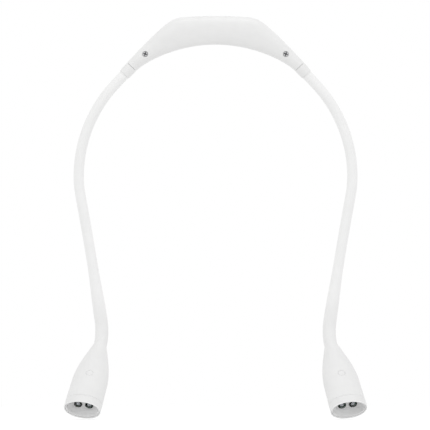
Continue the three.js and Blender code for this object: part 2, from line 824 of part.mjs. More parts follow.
// The stiff frame inside the cover: it grips the anchor and carries the switch.
function headFramePiece() {
  const socketEnd = frameStart + frameSocketLength;
  const flareEnd = flareStart + flareLength;
  const outerRing = (along) => headRing(along, frameInset, innerSides);
  const innerRing = (along) => headRing(along, frameInset + frameWall, innerSides);
  const outer = [...spread(frameStart, flareEnd, 4).map(outerRing), outerRing(frameEnd)];
  const inner = [
    innerRing(frameEnd),
    ...spread(flareEnd, socketEnd, 3).map(innerRing),
    roundRing([anchorRadius + gap, socketEnd], innerSides),
    roundRing([anchorRadius + gap, frameStart], innerSides),
  ];
  const frame = loft([...outer, ...inner], true);
  const shelfBox = boxBetween(
    [-mouthHalfWidth, shelfTop - shelfThickness, buttonAlong - switchBoardLength / 2],
    [mouthHalfWidth, shelfTop, buttonAlong + switchBoardLength / 2],
  );
  const shelf = common(shelfBox, loft(outer));
  const window = rod(buttonRadius + buttonFlange + gap, 0, mouthHalfWidth).rotateX(-Math.PI / 2);
  return worked(frame, [shelf], [window.translate(0, 0, buttonAlong)]);
}

function headAnchor() {
  const start = -bootRadius + 3 * gap;
  return rod(anchorRadius, start, anchorLength, smallSides);
}

function bezel() {
  const spigotInset = coverWall + gap;
  const innerInset = spigotInset + bezelWall;
  const ledge = headLength - bowlFloor - bowlFloorThickness - gap;
  const seam = coverLength + gap;
  return loft([
    headRing(coverLength - bezelSpigot, spigotInset),
    headRing(seam, spigotInset),
    headRing(seam, 0),
    headRing(headLength - lipRound, 0),
    headRing(headLength, lipRound),
    headRing(headLength, bezelWall),
    headRing(ledge, bezelWall),
    headRing(ledge, innerInset),
    headRing(coverLength - bezelSpigot, innerInset),
  ], true);
}

const floorAt = headLength - bowlFloor;
const bowlInset = bezelWall + gap;

function bowl() {
  const rimTop = headLength - gap;
  const rings = [
    headRing(floorAt - bowlFloorThickness, bowlInset),
    headRing(rimTop, bowlInset),
    headRing(rimTop, bowlInset + bowlRim),
  ];
  spread(0, Math.PI / 2, bowlRings + 1).slice(1).forEach((turn) => {
    const along = floorAt + (rimTop - floorAt) * (1 - Math.sin(turn));
    const inset = bowlInset + bowlRim + bowlSpread * (1 - Math.cos(turn));
    rings.push(headRing(along, inset));
  });
  const holes = bothSides.map((place) => {
    const hole = rod(cupRadius + gap, floorAt - 2 * overrun, floorAt + overrun);
    return hole.translate((place * lightSpacing) / 2, 0, 0);
  });
  return worked(loft(rings), [], holes);
}

const lightBoardTop = floorAt - bowlFloorThickness - cupFlangeHeight - bulbFlangeHeight - 3 * gap;

function lightBoard() {
  const inset = coverWall + bezelWall + 2 * gap;
  return loft([
    headRing(lightBoardTop - lightBoardThickness, inset),
    headRing(lightBoardTop, inset),
  ]);
}

function bulb() {
  const base = lightBoardTop + gap;
  const domeStart = base + bulbBodyHeight;
  return turned([
    [0, base],
    [bulbRadius + bulbFlange, base],
    [bulbRadius + bulbFlange, base + bulbFlangeHeight],
    [bulbRadius, base + bulbFlangeHeight],
    ...arcPoints(domeStart, bulbRadius, bulbRadius, 0, 1, ballRings),
  ]);
}

function reflectorCup() {
  const base = lightBoardTop + bulbFlangeHeight + 2 * gap;
  const rim = floorAt + cupRimHeight;
  const inner = bulbRadius + gap;
  return turned([
    [inner, base],
    [cupRadius + cupFlange, base],
    [cupRadius + cupFlange, base + cupFlangeHeight],
    [cupRadius, base + cupFlangeHeight],
    [cupRadius, rim],
    [inner + cupRimLip, rim],
    [inner, rim - cupRimHeight],
    [inner, base],
  ]);
}

// The button and its switch stand along +Y, towards the front.

function powerButton() {
  const top = faceHeight(0) + buttonProud;
  const flangeBottom = flangeTop - buttonFlangeHeight;
  const profile = [
    [0, stemEnd],
    [buttonStemRadius, stemEnd],
    [buttonStemRadius, flangeBottom],
    [buttonRadius + buttonFlange, flangeBottom],
    [buttonRadius + buttonFlange, flangeTop],
    [buttonRadius, flangeTop],
    [buttonRadius, top - cornerRound],
    [buttonRadius - cornerRound, top],
    [0, top + buttonCrown],
  ];
  return turned(profile, 2 * smallSides).rotateX(-Math.PI / 2).translate(0, 0, buttonAlong);
}

function powerSwitch() {
  const half = switchSize / 2;
  const body = boxBetween(
    [-half, switchTop - switchHeight, buttonAlong - half],
    [half, switchTop, buttonAlong + half],
  );
  const tip = rod(switchTipRadius, switchTop - overrun, tipTop).rotateX(-Math.PI / 2);
  return worked(body, [tip.translate(0, 0, buttonAlong)], []);
}

function switchBoard() {
  return boxBetween(
    [-switchBoardWidth / 2, switchBoardTop - switchBoardThickness, buttonAlong - switchBoardLength / 2],
    [switchBoardWidth / 2, switchBoardTop, buttonAlong + switchBoardLength / 2],
  );
}

// Assembly

function piece(name, geometry, material) {
  const mesh = new THREE.Mesh(geometry, materials[material]);
  mesh.name = name;
  return mesh;
}

function housing() {
  const group = new THREE.Group();
  group.add(
    piece("front_shell", frontShell(), "white_shell"),
    piece("rear_shell", rearShell(), "white_shell"),
    piece("battery_cell", batteryCell(), "cell_wrap"),
    piece("charge_board", chargeBoard(), "board_green"),
    piece("charge_socket", chargeSocket(), "steel"),
    piece("charge_light", chargeLight(), "clear_lens"),
  );
  return group;
}

function arm(side, name) {
  const group = new THREE.Group();
  const screw = piece(`housing_screw_${name}`, housingScrew(), "steel");
  screw.position.set(side * screwX, screwSeat, screwZ);
  group.add(screw);
  const root = new THREE.Group();
  root.applyMatrix4(armRootMatrix(side));
  root.add(
    piece(`collar_${name}`, collar(), "white_shell"),
    piece(`arm_anchor_${name}`, armAnchor(side), "steel"),
  );
  group.add(root);
  for (let index = 0; index < armPieces; index += 1) {
    group.add(
      piece(`arm_sleeve_${name}_${index + 1}`, armSleeve(side, index), "white_soft"),
      piece(`arm_core_${name}_${index + 1}`, armCore(side, index), "core_wire"),
    );
  }
  return group;
}

function head(side, name) {
  const group = new THREE.Group();
  const { along, wide, front } = headFrame(side);
  const matrix = new THREE.Matrix4().makeBasis(wide, front, along);
  const root = new ArmLine(side, 0, armLength).at(armLength).place;
  group.applyMatrix4(matrix.setPosition(root));
  group.add(
    piece(`head_cover_${name}`, headCover(), "white_soft"),
    piece(`head_frame_${name}`, headFramePiece(), "white_shell"),
    piece(`head_anchor_${name}`, headAnchor(), "steel"),
    piece(`bezel_${name}`, bezel(), "white_shell"),
    piece(`bowl_${name}`, bowl(), "white_bowl"),
    piece(`light_board_${name}`, lightBoard(), "board_green"),
    piece(`power_button_${name}`, powerButton(), "white_soft"),
    piece(`power_switch_${name}`, powerSwitch(), "black_plastic"),
    piece(`switch_board_${name}`, switchBoard(), "board_green"),
  );
  bothSides.forEach((place) => {
    const where = place === side ? "outer" : "inner";
    const light = piece(`light_${name}_${where}`, bulb(), "clear_lens");
    const cup = piece(`light_cup_${name}_${where}`, reflectorCup(), "dark_chrome");
    light.position.x = (place * lightSpacing) / 2;
    cup.position.x = (place * lightSpacing) / 2;
    group.add(light, cup);
  });
  return group;
}

const light = new THREE.Group();
light.add(housing(), arm(-1, "left"), arm(1, "right"), head(-1, "left"), head(1, "right"));

export default light;
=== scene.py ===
import math

import bmesh
import bpy
import numpy as np
from mathutils import Matrix, Vector


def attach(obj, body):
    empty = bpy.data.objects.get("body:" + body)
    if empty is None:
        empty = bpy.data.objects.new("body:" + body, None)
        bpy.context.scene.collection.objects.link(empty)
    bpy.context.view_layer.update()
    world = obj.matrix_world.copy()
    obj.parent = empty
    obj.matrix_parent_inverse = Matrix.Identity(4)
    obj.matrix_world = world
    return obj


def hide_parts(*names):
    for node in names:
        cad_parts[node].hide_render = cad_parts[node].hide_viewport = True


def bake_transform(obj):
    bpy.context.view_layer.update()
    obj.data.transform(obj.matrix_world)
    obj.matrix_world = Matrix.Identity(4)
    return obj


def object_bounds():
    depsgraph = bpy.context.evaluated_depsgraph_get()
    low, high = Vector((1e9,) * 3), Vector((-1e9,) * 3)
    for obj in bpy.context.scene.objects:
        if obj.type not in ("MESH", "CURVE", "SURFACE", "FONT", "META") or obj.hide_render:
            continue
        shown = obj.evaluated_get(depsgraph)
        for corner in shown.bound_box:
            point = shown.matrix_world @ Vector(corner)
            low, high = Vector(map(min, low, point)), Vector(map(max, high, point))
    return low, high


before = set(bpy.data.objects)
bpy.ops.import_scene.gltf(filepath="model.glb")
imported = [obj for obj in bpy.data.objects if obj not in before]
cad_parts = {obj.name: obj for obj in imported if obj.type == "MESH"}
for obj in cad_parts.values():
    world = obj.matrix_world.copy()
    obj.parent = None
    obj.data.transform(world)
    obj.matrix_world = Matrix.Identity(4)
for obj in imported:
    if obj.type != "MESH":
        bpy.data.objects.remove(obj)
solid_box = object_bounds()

MM = 0.001
TINY = 1e-6  # what counts as no length at all
SIDES = {"left": -1, "right": 1}

# Fits
gap = 0.3
fine_gap = 0.12  # what shows of a seam between two pieces
edge_round = 0.3
fine_edge = 0.12  # the rounding of the heads' thin edges
edge_step = 0.3  # where the middle point of a rounded edge lies, as a share of its size
skin_under = 0.005  # of the housing's skin, so that it stays within the flat faces of its solids

# Housing
middle_height = 24
half_span = 70  # from the middle to the centre of an end
end_drop = 18.35  # of that centre below the top of the arch
arm_splay = math.radians(43)
crown_half, crown_sag = 27.6, 1.1
shoulder_reach = 33.4  # where the crown turns into the flank
flank_length = 38  # from an end back to the point that the flank's curve bends towards
arch_reach, arch_tail = 33.2, 9.3  # the same for the arch, from its top and from an end
end_radius = 5.2
middle_depth = 19
depth_fall = 2.2  # the power by which the depth falls towards the ends
middle_squareness = 2.5  # 2 is an ellipse
shell_wall = 1.8
screw_share, screw_lift = 0.8065, 0.45  # along the housing and above its middle line
screw_head_radius, screw_head_height, screw_sink = 2.3, 1.3, 0.6
screw_boss_radius, screw_hole_radius = 3.2, 1.5
innards_z = 11
land_width, land_height, land_depth, land_round = 21, 7, 0.8, 2
land_y = middle_depth / 2 - land_depth
slot_width, slot_height = 8.2, 3.3
charge_light_x, charge_light_radius = 7.5, 1.0

# Arms
sleeve_radius = 4.3
sleeve_wall = 1.5
boot_radius = 5.45
boot_taper, boot_run = 50, 23.3
collar_length = 8.9
collar_mouth_radius = 4.95
spigot_radius = 3.7
ball_ahead = 0.8  # of the first joint beyond the collar's mouth
upper_run, upper_bend = 11.8, 112.1  # straight out of the collar, then the radius of the first bend
inner_bend, arm_inward, arm_return = 89.4, math.radians(10.5), math.radians(8.2)
lower_run = 105.3
head_bend = 28
arm_pieces = 5

# Heads
head_lean, head_tilt, head_roll = math.radians(15.4), math.radians(42), math.radians(13.5)
head_length = 75
flare_start, flare_length = 0.5, 43
body_half_width, body_half_depth = 14, 9.8
mouth_half_width, mouth_half_depth = 15.7, 10.4
head_squareness = 2.1
cover_start, cover_wall = 14, 1.4
bezel_length, bezel_wall, bezel_spigot = 7.9, 1.1, 5
cover_length = head_length - bezel_length - gap
mouth_lip = 1.0
mouth_at = head_length - 0.4  # where the skin of the bezel ends
bowl_floor, bowl_floor_thickness, bowl_rim, bowl_spread = 6.4, 0.9, 0.7, 4.2
bowl_sink = 0.7  # of the bowl's rim below the mouth
bowl_inset = bezel_wall + fine_gap
floor_at = mouth_at - bowl_floor
head_sides = 96  # points round a head's outline
core_room = 2.1  # radius of the hole that the core lies in
light_spacing = 9.4
bulb_radius, bulb_flange, bulb_flange_height, bulb_body = 2.5, 0.4, 1.0, 3.3
cup_radius, cup_rim_height, cup_rim_lip = 3.3, 1.0, 0.25
cup_flange, cup_flange_height = 1.0, 0.6
board_top = floor_at - bowl_floor_thickness - cup_flange_height - bulb_flange_height - 3 * gap
button_along, button_radius, button_proud = 41.5, 3.0, 0.15


# Meshes

def mesh_object(name, points, faces, smooth=None):
    """A mesh of points in millimetres; smooth says for each face whether it is rounded."""
    mesh = bpy.data.meshes.new(name)
    mesh.from_pydata([tuple(float(v) * MM for v in p) for p in points], [], faces)
    mesh.validate()
    flags = [True] * len(mesh.polygons) if smooth is None else smooth
    mesh.polygons.foreach_set("use_smooth", flags)
    mesh.update()
    made = bpy.data.objects.new(name, mesh)
    bpy.context.scene.collection.objects.link(made)
    return made


def face_outwards(thing):
    """Turns all faces of a closed mesh round where they point inwards."""
    work = bmesh.new()
    work.from_mesh(thing.data)
    if work.calc_volume(signed=True) < 0:
        bmesh.ops.reverse_faces(work, faces=work.faces[:])
    work.to_mesh(thing.data)
    work.free()
    return thing


def loft(name, rings, through=False):
    """A closed skin through rings of points, capped at both ends or joined end to end."""
    count, total = len(rings[0]), len(rings)
    faces, smooth = [], []
    for r in range(total if through else total - 1):
        here, there = r * count, ((r + 1) % total) * count
        for i in range(count):
            j = (i + 1) % count
            faces.append((here + i, here + j, there + j, there + i))
            smooth.append(True)
    if not through:
        faces.append(tuple(reversed(range(count))))
        faces.append(tuple((total - 1) * count + i for i in range(count)))
        smooth += [False, False]
    return face_outwards(mesh_object(name, [p for ring in rings for p in ring], faces, smooth))


def turned(name, profile, sides=64):
    """A body turned about +Z from (radius, height) pairs; a radius of 0 is a pole."""
    points, rings = [], []
    for radius, height in profile:
        if radius <= TINY:
            rings.append([len(points)] * sides)
            points.append((0, 0, height))
            continue
        rings.append(list(range(len(points), len(points) + sides)))
        for i in range(sides):
            turn = 2 * math.pi * i / sides
            points.append((radius * math.cos(turn), radius * math.sin(turn), height))
    faces = []
    closed = min(profile[0][0], profile[-1][0]) > TINY
    pairs = list(zip(rings, rings[1:])) + ([(rings[-1], rings[0])] if closed else [])
    for below, above in pairs:
        for i in range(sides):
            j = (i + 1) % sides
            corners = [below[i], below[j], above[j], above[i]]
            face = [c for k, c in enumerate(corners) if c != corners[k - 1]]
            if len(face) > 2:
                faces.append(tuple(face))
    return sharpen(face_outwards(mesh_object(name, points, faces)), degrees=40)


def sharpen(thing, degrees):
    """Marks the edges that turn by more than some degrees as sharp."""
    thing.data.set_sharp_from_angle(angle=math.radians(degrees))
    return thing


def placed(thing, matrix):
    """The mesh moved to its place, with the object left at the origin."""
    thing.data.transform(matrix)
    thing.data.update()
    return thing


def in_mm(matrix):
    """A place given in millimetres as the metres that a mesh is in."""
    moved = matrix.copy()
    moved.translation = moved.translation * MM
    return moved


def finished(thing, name=None):
    """The object with its modifiers carried out and none left."""
    name = name or thing.name
    evaluated = thing.evaluated_get(bpy.context.evaluated_depsgraph_get())
    mesh = bpy.data.meshes.new_from_object(evaluated)
    bpy.data.objects.remove(thing)
    made = bpy.data.objects.new(name, mesh)
    bpy.context.scene.collection.objects.link(made)
    return made


def carved(thing, added, removed, angle=35):
    """The thing with some meshes joined on and others cut away."""
    for other, operation in [(a, "UNION") for a in added] + [(r, "DIFFERENCE") for r in removed]:
        step = thing.modifiers.new(operation.lower(), "BOOLEAN")
        step.operation, step.object, step.solver = operation, other, "EXACT"
    bpy.context.view_layer.update()
    made = finished(thing)
    for other in [*added, *removed]:
        bpy.data.objects.remove(other)
    made.data.polygons.foreach_set("use_smooth", [True] * len(made.data.polygons))
    return sharpen(made, angle)


def rod(name, radius, low, high, sides=64):
    """A rod along Z."""
    return turned(name, [(0, low), (radius, low), (radius, high), (0, high)], sides)


def rod_across(name, radius, x, z, low, high):
    """A rod along Y."""
    turn = Matrix.Translation(Vector((x, 0, z)) * MM) @ Matrix.Rotation(-math.pi / 2, 4, "X")
    return placed(rod(name, radius, low, high), turn)


def plate_across(name, width, height, corner, x, z, low, high):
    """A plate with round corners, its outline in XZ."""
    steps = 8
    ring = []
    for cx, cz, start in ((1, 1, 0), (-1, 1, 90), (-1, -1, 180), (1, -1, 270)):
        for k in range(steps + 1):
            turn = math.radians(start + k * 90 / steps)
            ring.append((
                x + cx * (width / 2 - corner) + corner * math.cos(turn),
                z + cz * (height / 2 - corner) + corner * math.sin(turn),
            ))
    return loft(name, [[(px, y, pz) for px, pz in ring] for y in (low, high)])


def power(value, exponent):
    """A power that keeps the sign of its value."""
    return math.copysign(abs(value) ** exponent, value)


def oval(centre, right, front, half_width, half_depth, squareness, sides):
    """A ring of points: an ellipse where squareness is 2, and squarer above."""
    ring = []
    for i in range(sides):
        turn = 2 * math.pi * i / sides
        across = half_width * power(math.cos(turn), 2 / squareness)
        along = half_depth * power(math.sin(turn), 2 / squareness)
        ring.append(centre + right * across + front * along)
    return ring


def blend_of(low, high, share):
    return low + (high - low) * share


def spread(low, high, count):
    """Even values from low to high, both of them in."""
    return [blend_of(low, high, i / (count - 1)) for i in range(count)]


def half_round(steps):
    """Cosine and sine of even turns within half a circle, without its two ends."""
    turns = [math.pi * k / steps for k in range(1, steps)]
    return [(math.cos(turn), math.sin(turn)) for turn in turns]


def smooth_step(value, low, high):
    share = min(max((value - low) / (high - low), 0), 1)
    return share * share * (3 - 2 * share)


# Repeats and paths, as Geometry Nodes trees with named inputs

def tree_with(name, inputs):
    tree = bpy.data.node_groups.new(name, "GeometryNodeTree")
    tree.interface.new_socket("Geometry", in_out="OUTPUT", socket_type="NodeSocketGeometry")
    tree.interface.new_socket("Geometry", in_out="INPUT", socket_type="NodeSocketGeometry")
    for label, kind in inputs:
        tree.interface.new_socket(label, in_out="INPUT", socket_type="NodeSocket" + kind)
    return tree, tree.nodes.new("NodeGroupInput"), tree.nodes.new("NodeGroupOutput")


def fill_inputs(thing, tree, values):
    """Adds the tree to the object as a modifier and sets its inputs by their identifiers."""
    step = thing.modifiers.new(tree.name, "NODES")
    step.node_group = tree
    for item in tree.interface.items_tree:
        if item.item_type == "SOCKET" and item.in_out == "INPUT" and item.name in values:
            step[item.identifier] = values[item.name]


def pair_tree():
    """Sets one piece at two places."""
    tree, start, end = tree_with("set_in_pair", [
        ("Piece", "Object"), ("First place", "Vector"), ("Second place", "Vector"), ("Finish", "Material"),
    ])
    nodes, link = tree.nodes, tree.links.new
    source = nodes.new("GeometryNodeObjectInfo")
    link(start.outputs["Piece"], source.inputs["Object"])
    both = nodes.new("GeometryNodeJoinGeometry")
    for place in ("First place", "Second place"):
        move = nodes.new("GeometryNodeTransform")
        link(source.outputs["Geometry"], move.inputs["Geometry"])
        link(start.outputs[place], move.inputs["Translation"])
        link(move.outputs["Geometry"], both.inputs["Geometry"])
    real = nodes.new("GeometryNodeRealizeInstances")
    finish = nodes.new("GeometryNodeSetMaterial")
    link(both.outputs["Geometry"], real.inputs["Geometry"])
    link(real.outputs["Geometry"], finish.inputs["Geometry"])
    link(start.outputs["Finish"], finish.inputs["Material"])
    link(finish.outputs["Geometry"], end.inputs["Geometry"])
    return tree


def sleeve_tree():
    """A soft tube along a line, which thickens into a boot between two lengths of the arm."""
    tree, start, end = tree_with("soft_sleeve", [
        ("Starts at", "Float"), ("Radius", "Float"), ("Boot radius", "Float"), ("Boot start", "Float"),
        ("Boot end", "Float"), ("Sides", "Int"), ("Finish", "Material"),
    ])
    nodes, link = tree.nodes, tree.links.new
    where = nodes.new("GeometryNodeSplineParameter")
    along = nodes.new("ShaderNodeMath")
    along.operation = "ADD"
    link(where.outputs["Length"], along.inputs[0])
    link(start.outputs["Starts at"], along.inputs[1])
    swell = nodes.new("ShaderNodeMapRange")
    swell.interpolation_type = "SMOOTHSTEP"
    link(along.outputs[0], swell.inputs["Value"])
    link(start.outputs["Boot start"], swell.inputs["From Min"])
    link(start.outputs["Boot end"], swell.inputs["From Max"])
    link(start.outputs["Radius"], swell.inputs["To Min"])
    link(start.outputs["Boot radius"], swell.inputs["To Max"])
    section = nodes.new("GeometryNodeCurvePrimitiveCircle")
    section.inputs["Radius"].default_value = 1
    link(start.outputs["Sides"], section.inputs["Resolution"])
    tube = nodes.new("GeometryNodeCurveToMesh")
    link(start.outputs["Geometry"], tube.inputs["Curve"])
    link(section.outputs["Curve"], tube.inputs["Profile Curve"])
    link(swell.outputs["Result"], tube.inputs["Scale"])
    rounded = nodes.new("GeometryNodeSetShadeSmooth")
    real = nodes.new("GeometryNodeRealizeInstances")
    finish = nodes.new("GeometryNodeSetMaterial")
    link(tube.outputs["Mesh"], rounded.inputs["Geometry"])
    link(rounded.outputs["Geometry"], real.inputs["Geometry"])
    link(real.outputs["Geometry"], finish.inputs["Geometry"])
    link(start.outputs["Finish"], finish.inputs["Material"])
    link(finish.outputs["Geometry"], end.inputs["Geometry"])
    return tree


# Finishes

def socket(shader, name, value):
    shader.inputs[name].default_value = value


def shader_group(name, inputs, outputs):
    """A group for an effect that several finishes share, with its first and its last node."""
    group = bpy.data.node_groups.new(name, "ShaderNodeTree")
    for label in outputs:
        group.interface.new_socket(label, in_out="OUTPUT", socket_type="NodeSocketFloat")
    for label, value in inputs.items():
        kind = "Float" if isinstance(value, float) else "Vector"
        made = group.interface.new_socket(label, in_out="INPUT", socket_type="NodeSocket" + kind)
        made.default_value = value
    return group, group.nodes.new("NodeGroupInput"), group.nodes.new("NodeGroupOutput")


def noise_in(group, size, detail):
    """Noise over the surface; size is an output that says how coarse it is, in millimetres."""
    nodes, link = group.nodes, group.links.new
    where = nodes.new("ShaderNodeTexCoord")
    per_metre = nodes.new("ShaderNodeMath")
    per_metre.operation = "DIVIDE"
    per_metre.inputs[0].default_value = 1 / MM
    link(size, per_metre.inputs[1])
    made = nodes.new("ShaderNodeTexNoise")
    made.inputs["Detail"].default_value = detail
    link(where.outputs["Object"], made.inputs["Vector"])
    link(per_metre.outputs[0], made.inputs["Scale"])
    return made.outputs["Fac"]


def ranged(tree, value, **ends):
    """A value brought from one range to another, whose ends are numbers or outputs of nodes."""
    made = tree.nodes.new("ShaderNodeMapRange")
    tree.links.new(value, made.inputs["Value"])
    for label, end in ends.items():
        wanted = made.inputs[label.replace("_", " ").title()]
        if isinstance(end, bpy.types.NodeSocket):
            tree.links.new(end, wanted)
        else:
            wanted.default_value = end
    return made.outputs["Result"]


def grain_group():
    """Fine grain: a height for a bump, a soft colour mask and a roughness that varies."""
    sizes = {"Grain size": 0.15, "Cloud size": 9.0, "Roughness low": 0.4, "Roughness high": 0.5}
    group, start, end = shader_group("fine_grain", sizes, ("Height", "Mottle", "Roughness"))
    fine = noise_in(group, start.outputs["Grain size"], 3)
    cloud = noise_in(group, start.outputs["Cloud size"], 2)
    low, high = start.outputs["Roughness low"], start.outputs["Roughness high"]
    group.links.new(fine, end.inputs["Height"])
    group.links.new(ranged(group, cloud, from_min=0.3, from_max=0.7), end.inputs["Mottle"])
    group.links.new(ranged(group, cloud, to_min=low, to_max=high), end.inputs["Roughness"])
    return group


def crease_shade_group():
    """A mask that is high in creases, where painted shade goes."""
    group, _, end = shader_group("creases", {}, ("Crease",))
    shape = group.nodes.new("ShaderNodeNewGeometry")
    crease_shade = ranged(group, shape.outputs["Pointiness"], from_min=0.48, from_max=0.38)
    group.links.new(crease_shade, end.inputs["Crease"])
    return group


def marks_group():
    """Fine marks on bare metal, and a roughness that goes with them."""
    sizes = {"Mark size": 0.4, "Roughness low": 0.3, "Roughness high": 0.4}
    group, start, end = shader_group("metal_marks", sizes, ("Marks", "Roughness"))
    marks = noise_in(group, start.outputs["Mark size"], 4)
    low, high = start.outputs["Roughness low"], start.outputs["Roughness high"]
    group.links.new(marks, end.inputs["Marks"])
    group.links.new(ranged(group, marks, to_min=low, to_max=high), end.inputs["Roughness"])
    return group


def reach_group():
    """A mask that grows along a direction, alike on both halves of the light, for painted light and shade;
    its ends in metres.
    """
    group, start, end = shader_group("reach", {"Way": (0, 0, 1), "Start": 0.0, "End": 1.0}, ("Reach",))
    nodes, link = group.nodes, group.links.new
    where = nodes.new("ShaderNodeTexCoord")
    folded, along = nodes.new("ShaderNodeVectorMath"), nodes.new("ShaderNodeVectorMath")
    folded.operation, along.operation = "ABSOLUTE", "DOT_PRODUCT"
    link(where.outputs["Object"], folded.inputs[0])
    link(folded.outputs["Vector"], along.inputs[0])
    link(start.outputs["Way"], along.inputs[1])
    low, high = start.outputs["Start"], start.outputs["End"]
    link(ranged(group, along.outputs["Value"], from_min=low, from_max=high), end.inputs["Reach"])
    return group


def effect(nodes, kind, **values):
    """Places a shared group in a material with its own values."""
    made = nodes.new("ShaderNodeGroup")
    made.node_tree = groups[kind]
    for label, value in values.items():
        made.inputs[label.replace("_", " ").capitalize()].default_value = value
    return made.outputs


def finish_base(name):
    """A new material with its nodes, the call that links them, and its shader."""
    made = bpy.data.materials.new(name)
    made.use_nodes = True
    nodes = made.node_tree.nodes
    return made, nodes, made.node_tree.links.new, nodes["Principled BSDF"]


def colour_mix(nodes, link, first, second, mask, how="MIX"):
    """Mixes a colour, or what another node puts out, with a second colour."""
    mix = nodes.new("ShaderNodeMix")
    mix.data_type, mix.blend_type = "RGBA", how
    if isinstance(first, bpy.types.NodeSocket):
        link(first, mix.inputs["A"])
    else:
        mix.inputs["A"].default_value = (*first, 1)
    mix.inputs["B"].default_value = (*second, 1)
    link(mask, mix.inputs["Factor"])
    return mix.outputs["Result"]


def bump_from(nodes, link, height, strength, distance):
    """A normal raised by a height; distance is in millimetres."""
    bump = nodes.new("ShaderNodeBump")
    bump.inputs["Strength"].default_value = strength
    bump.inputs["Distance"].default_value = distance * MM
    link(height, bump.inputs["Height"])
    return bump.outputs["Normal"]


def moulded(name, light, dark, crease_shade, rough, grain, bump, sheen=0.0, coat=0.0):
    """Moulded plastic: a cloudy tone, painted shade darkening the creases, fine grain."""
    made, nodes, link, shader = finish_base(name)
    fine = effect(nodes, "grain", grain_size=grain, roughness_low=rough[0], roughness_high=rough[1])
    body = colour_mix(nodes, link, light, dark, fine["Mottle"])
    # painted shade: the creases darkened towards the crease colour
    crease_shaded = colour_mix(nodes, link, body, crease_shade, effect(nodes, "creases")["Crease"])
    link(crease_shaded, shader.inputs["Base Color"])
    link(fine["Roughness"], shader.inputs["Roughness"])
    link(bump_from(nodes, link, fine["Height"], bump, 0.05), shader.inputs["Normal"])
    socket(shader, "Sheen Weight", sheen)
    socket(shader, "Coat Weight", coat)
    return made


def metal(name, light, dark, rough, size=0.4):
    """Bare metal with fine marks."""
    made, nodes, link, shader = finish_base(name)
    worn = effect(nodes, "marks", mark_size=size, roughness_low=rough[0], roughness_high=rough[1])
    link(colour_mix(nodes, link, light, dark, worn["Marks"]), shader.inputs["Base Color"])
    link(worn["Roughness"], shader.inputs["Roughness"])
    link(bump_from(nodes, link, worn["Marks"], 0.2, 0.02), shader.inputs["Normal"])
    socket(shader, "Metallic", 1.0)
    return made


def mirrored(place):
    """A place or direction with its minus signs gone, so that both halves of the light share it."""
    return Vector([abs(v) for v in place])


def paint_shading(made, way, start, end, tone, how="MIX"):
    """Paints light or shade into a finish: a second tone growing along a mirrored direction from start to
    end.
    """
    nodes, link = made.node_tree.nodes, made.node_tree.links.new
    shader = nodes["Principled BSDF"]
    bare = shader.inputs["Base Color"].links[0].from_socket
    amount = effect(nodes, "reach", way=way, start=start * MM, end=end * MM)["Reach"]
    link(colour_mix(nodes, link, bare, tone, amount, how), shader.inputs["Base Color"])


def clear_finish():
    """Clear moulded lens: glass-like, with slight flow lines."""
    made, nodes, link, shader = finish_base("clear_lens_finish")
    fine = effect(nodes, "grain", grain_size=0.9, roughness_low=0.02, roughness_high=0.07)
    link(colour_mix(nodes, link, (0.93, 0.95, 0.97), (0.86, 0.89, 0.93), fine["Mottle"]),
         shader.inputs["Base Color"])
    link(fine["Roughness"], shader.inputs["Roughness"])
    link(bump_from(nodes, link, fine["Height"], 0.05, 0.02), shader.inputs["Normal"])
    socket(shader, "Transmission Weight", 1.0)
    socket(shader, "IOR", 1.5)
    return made


def board_finish():
    """Green circuit board with lighter tracks and small pads."""
    made, nodes, link, shader = finish_base("board_finish")
    pad_colour, pad_share = (0.62, 0.5, 0.26), 0.16
    where = nodes.new("ShaderNodeTexCoord")
    tracks = nodes.new("ShaderNodeTexBrick")
    tracks.inputs["Scale"].default_value = 420
    tracks.inputs["Mortar Size"].default_value = 0.035
    tracks.inputs["Color1"].default_value = (0.012, 0.10, 0.045, 1)
    tracks.inputs["Color2"].default_value = (0.016, 0.13, 0.06, 1)
    tracks.inputs["Mortar"].default_value = (0.05, 0.24, 0.12, 1)
    link(where.outputs["Object"], tracks.inputs["Vector"])
    pads = nodes.new("ShaderNodeTexVoronoi")
    pads.inputs["Scale"].default_value = 450
    link(where.outputs["Object"], pads.inputs["Vector"])
    dots = nodes.new("ShaderNodeMath")
    dots.operation = "LESS_THAN"
    dots.inputs[1].default_value = pad_share
    link(pads.outputs["Distance"], dots.inputs[0])
    padded = colour_mix(nodes, link, tracks.outputs["Color"], pad_colour, dots.outputs[0])
    link(padded, shader.inputs["Base Color"])
    link(bump_from(nodes, link, tracks.outputs["Fac"], 0.3, 0.03), shader.inputs["Normal"])
    socket(shader, "Roughness", 0.42)
    return made


def wire_finish():
    """Twisted steel wire: slanted strands."""
    made, nodes, link, shader = finish_base("core_wire_finish")
    where = nodes.new("ShaderNodeTexCoord")
    strands = nodes.new("ShaderNodeTexWave")
    strands.bands_direction = "DIAGONAL"
    strands.inputs["Scale"].default_value = 320
    strands.inputs["Distortion"].default_value = 0.4
    link(where.outputs["Object"], strands.inputs["Vector"])
    link(colour_mix(nodes, link, (0.24, 0.245, 0.255), (0.5, 0.51, 0.52), strands.outputs["Fac"]),
         shader.inputs["Base Color"])
    link(bump_from(nodes, link, strands.outputs["Fac"], 0.6, 0.15), shader.inputs["Normal"])
    socket(shader, "Metallic", 1.0)
    socket(shader, "Roughness", 0.38)
    return made


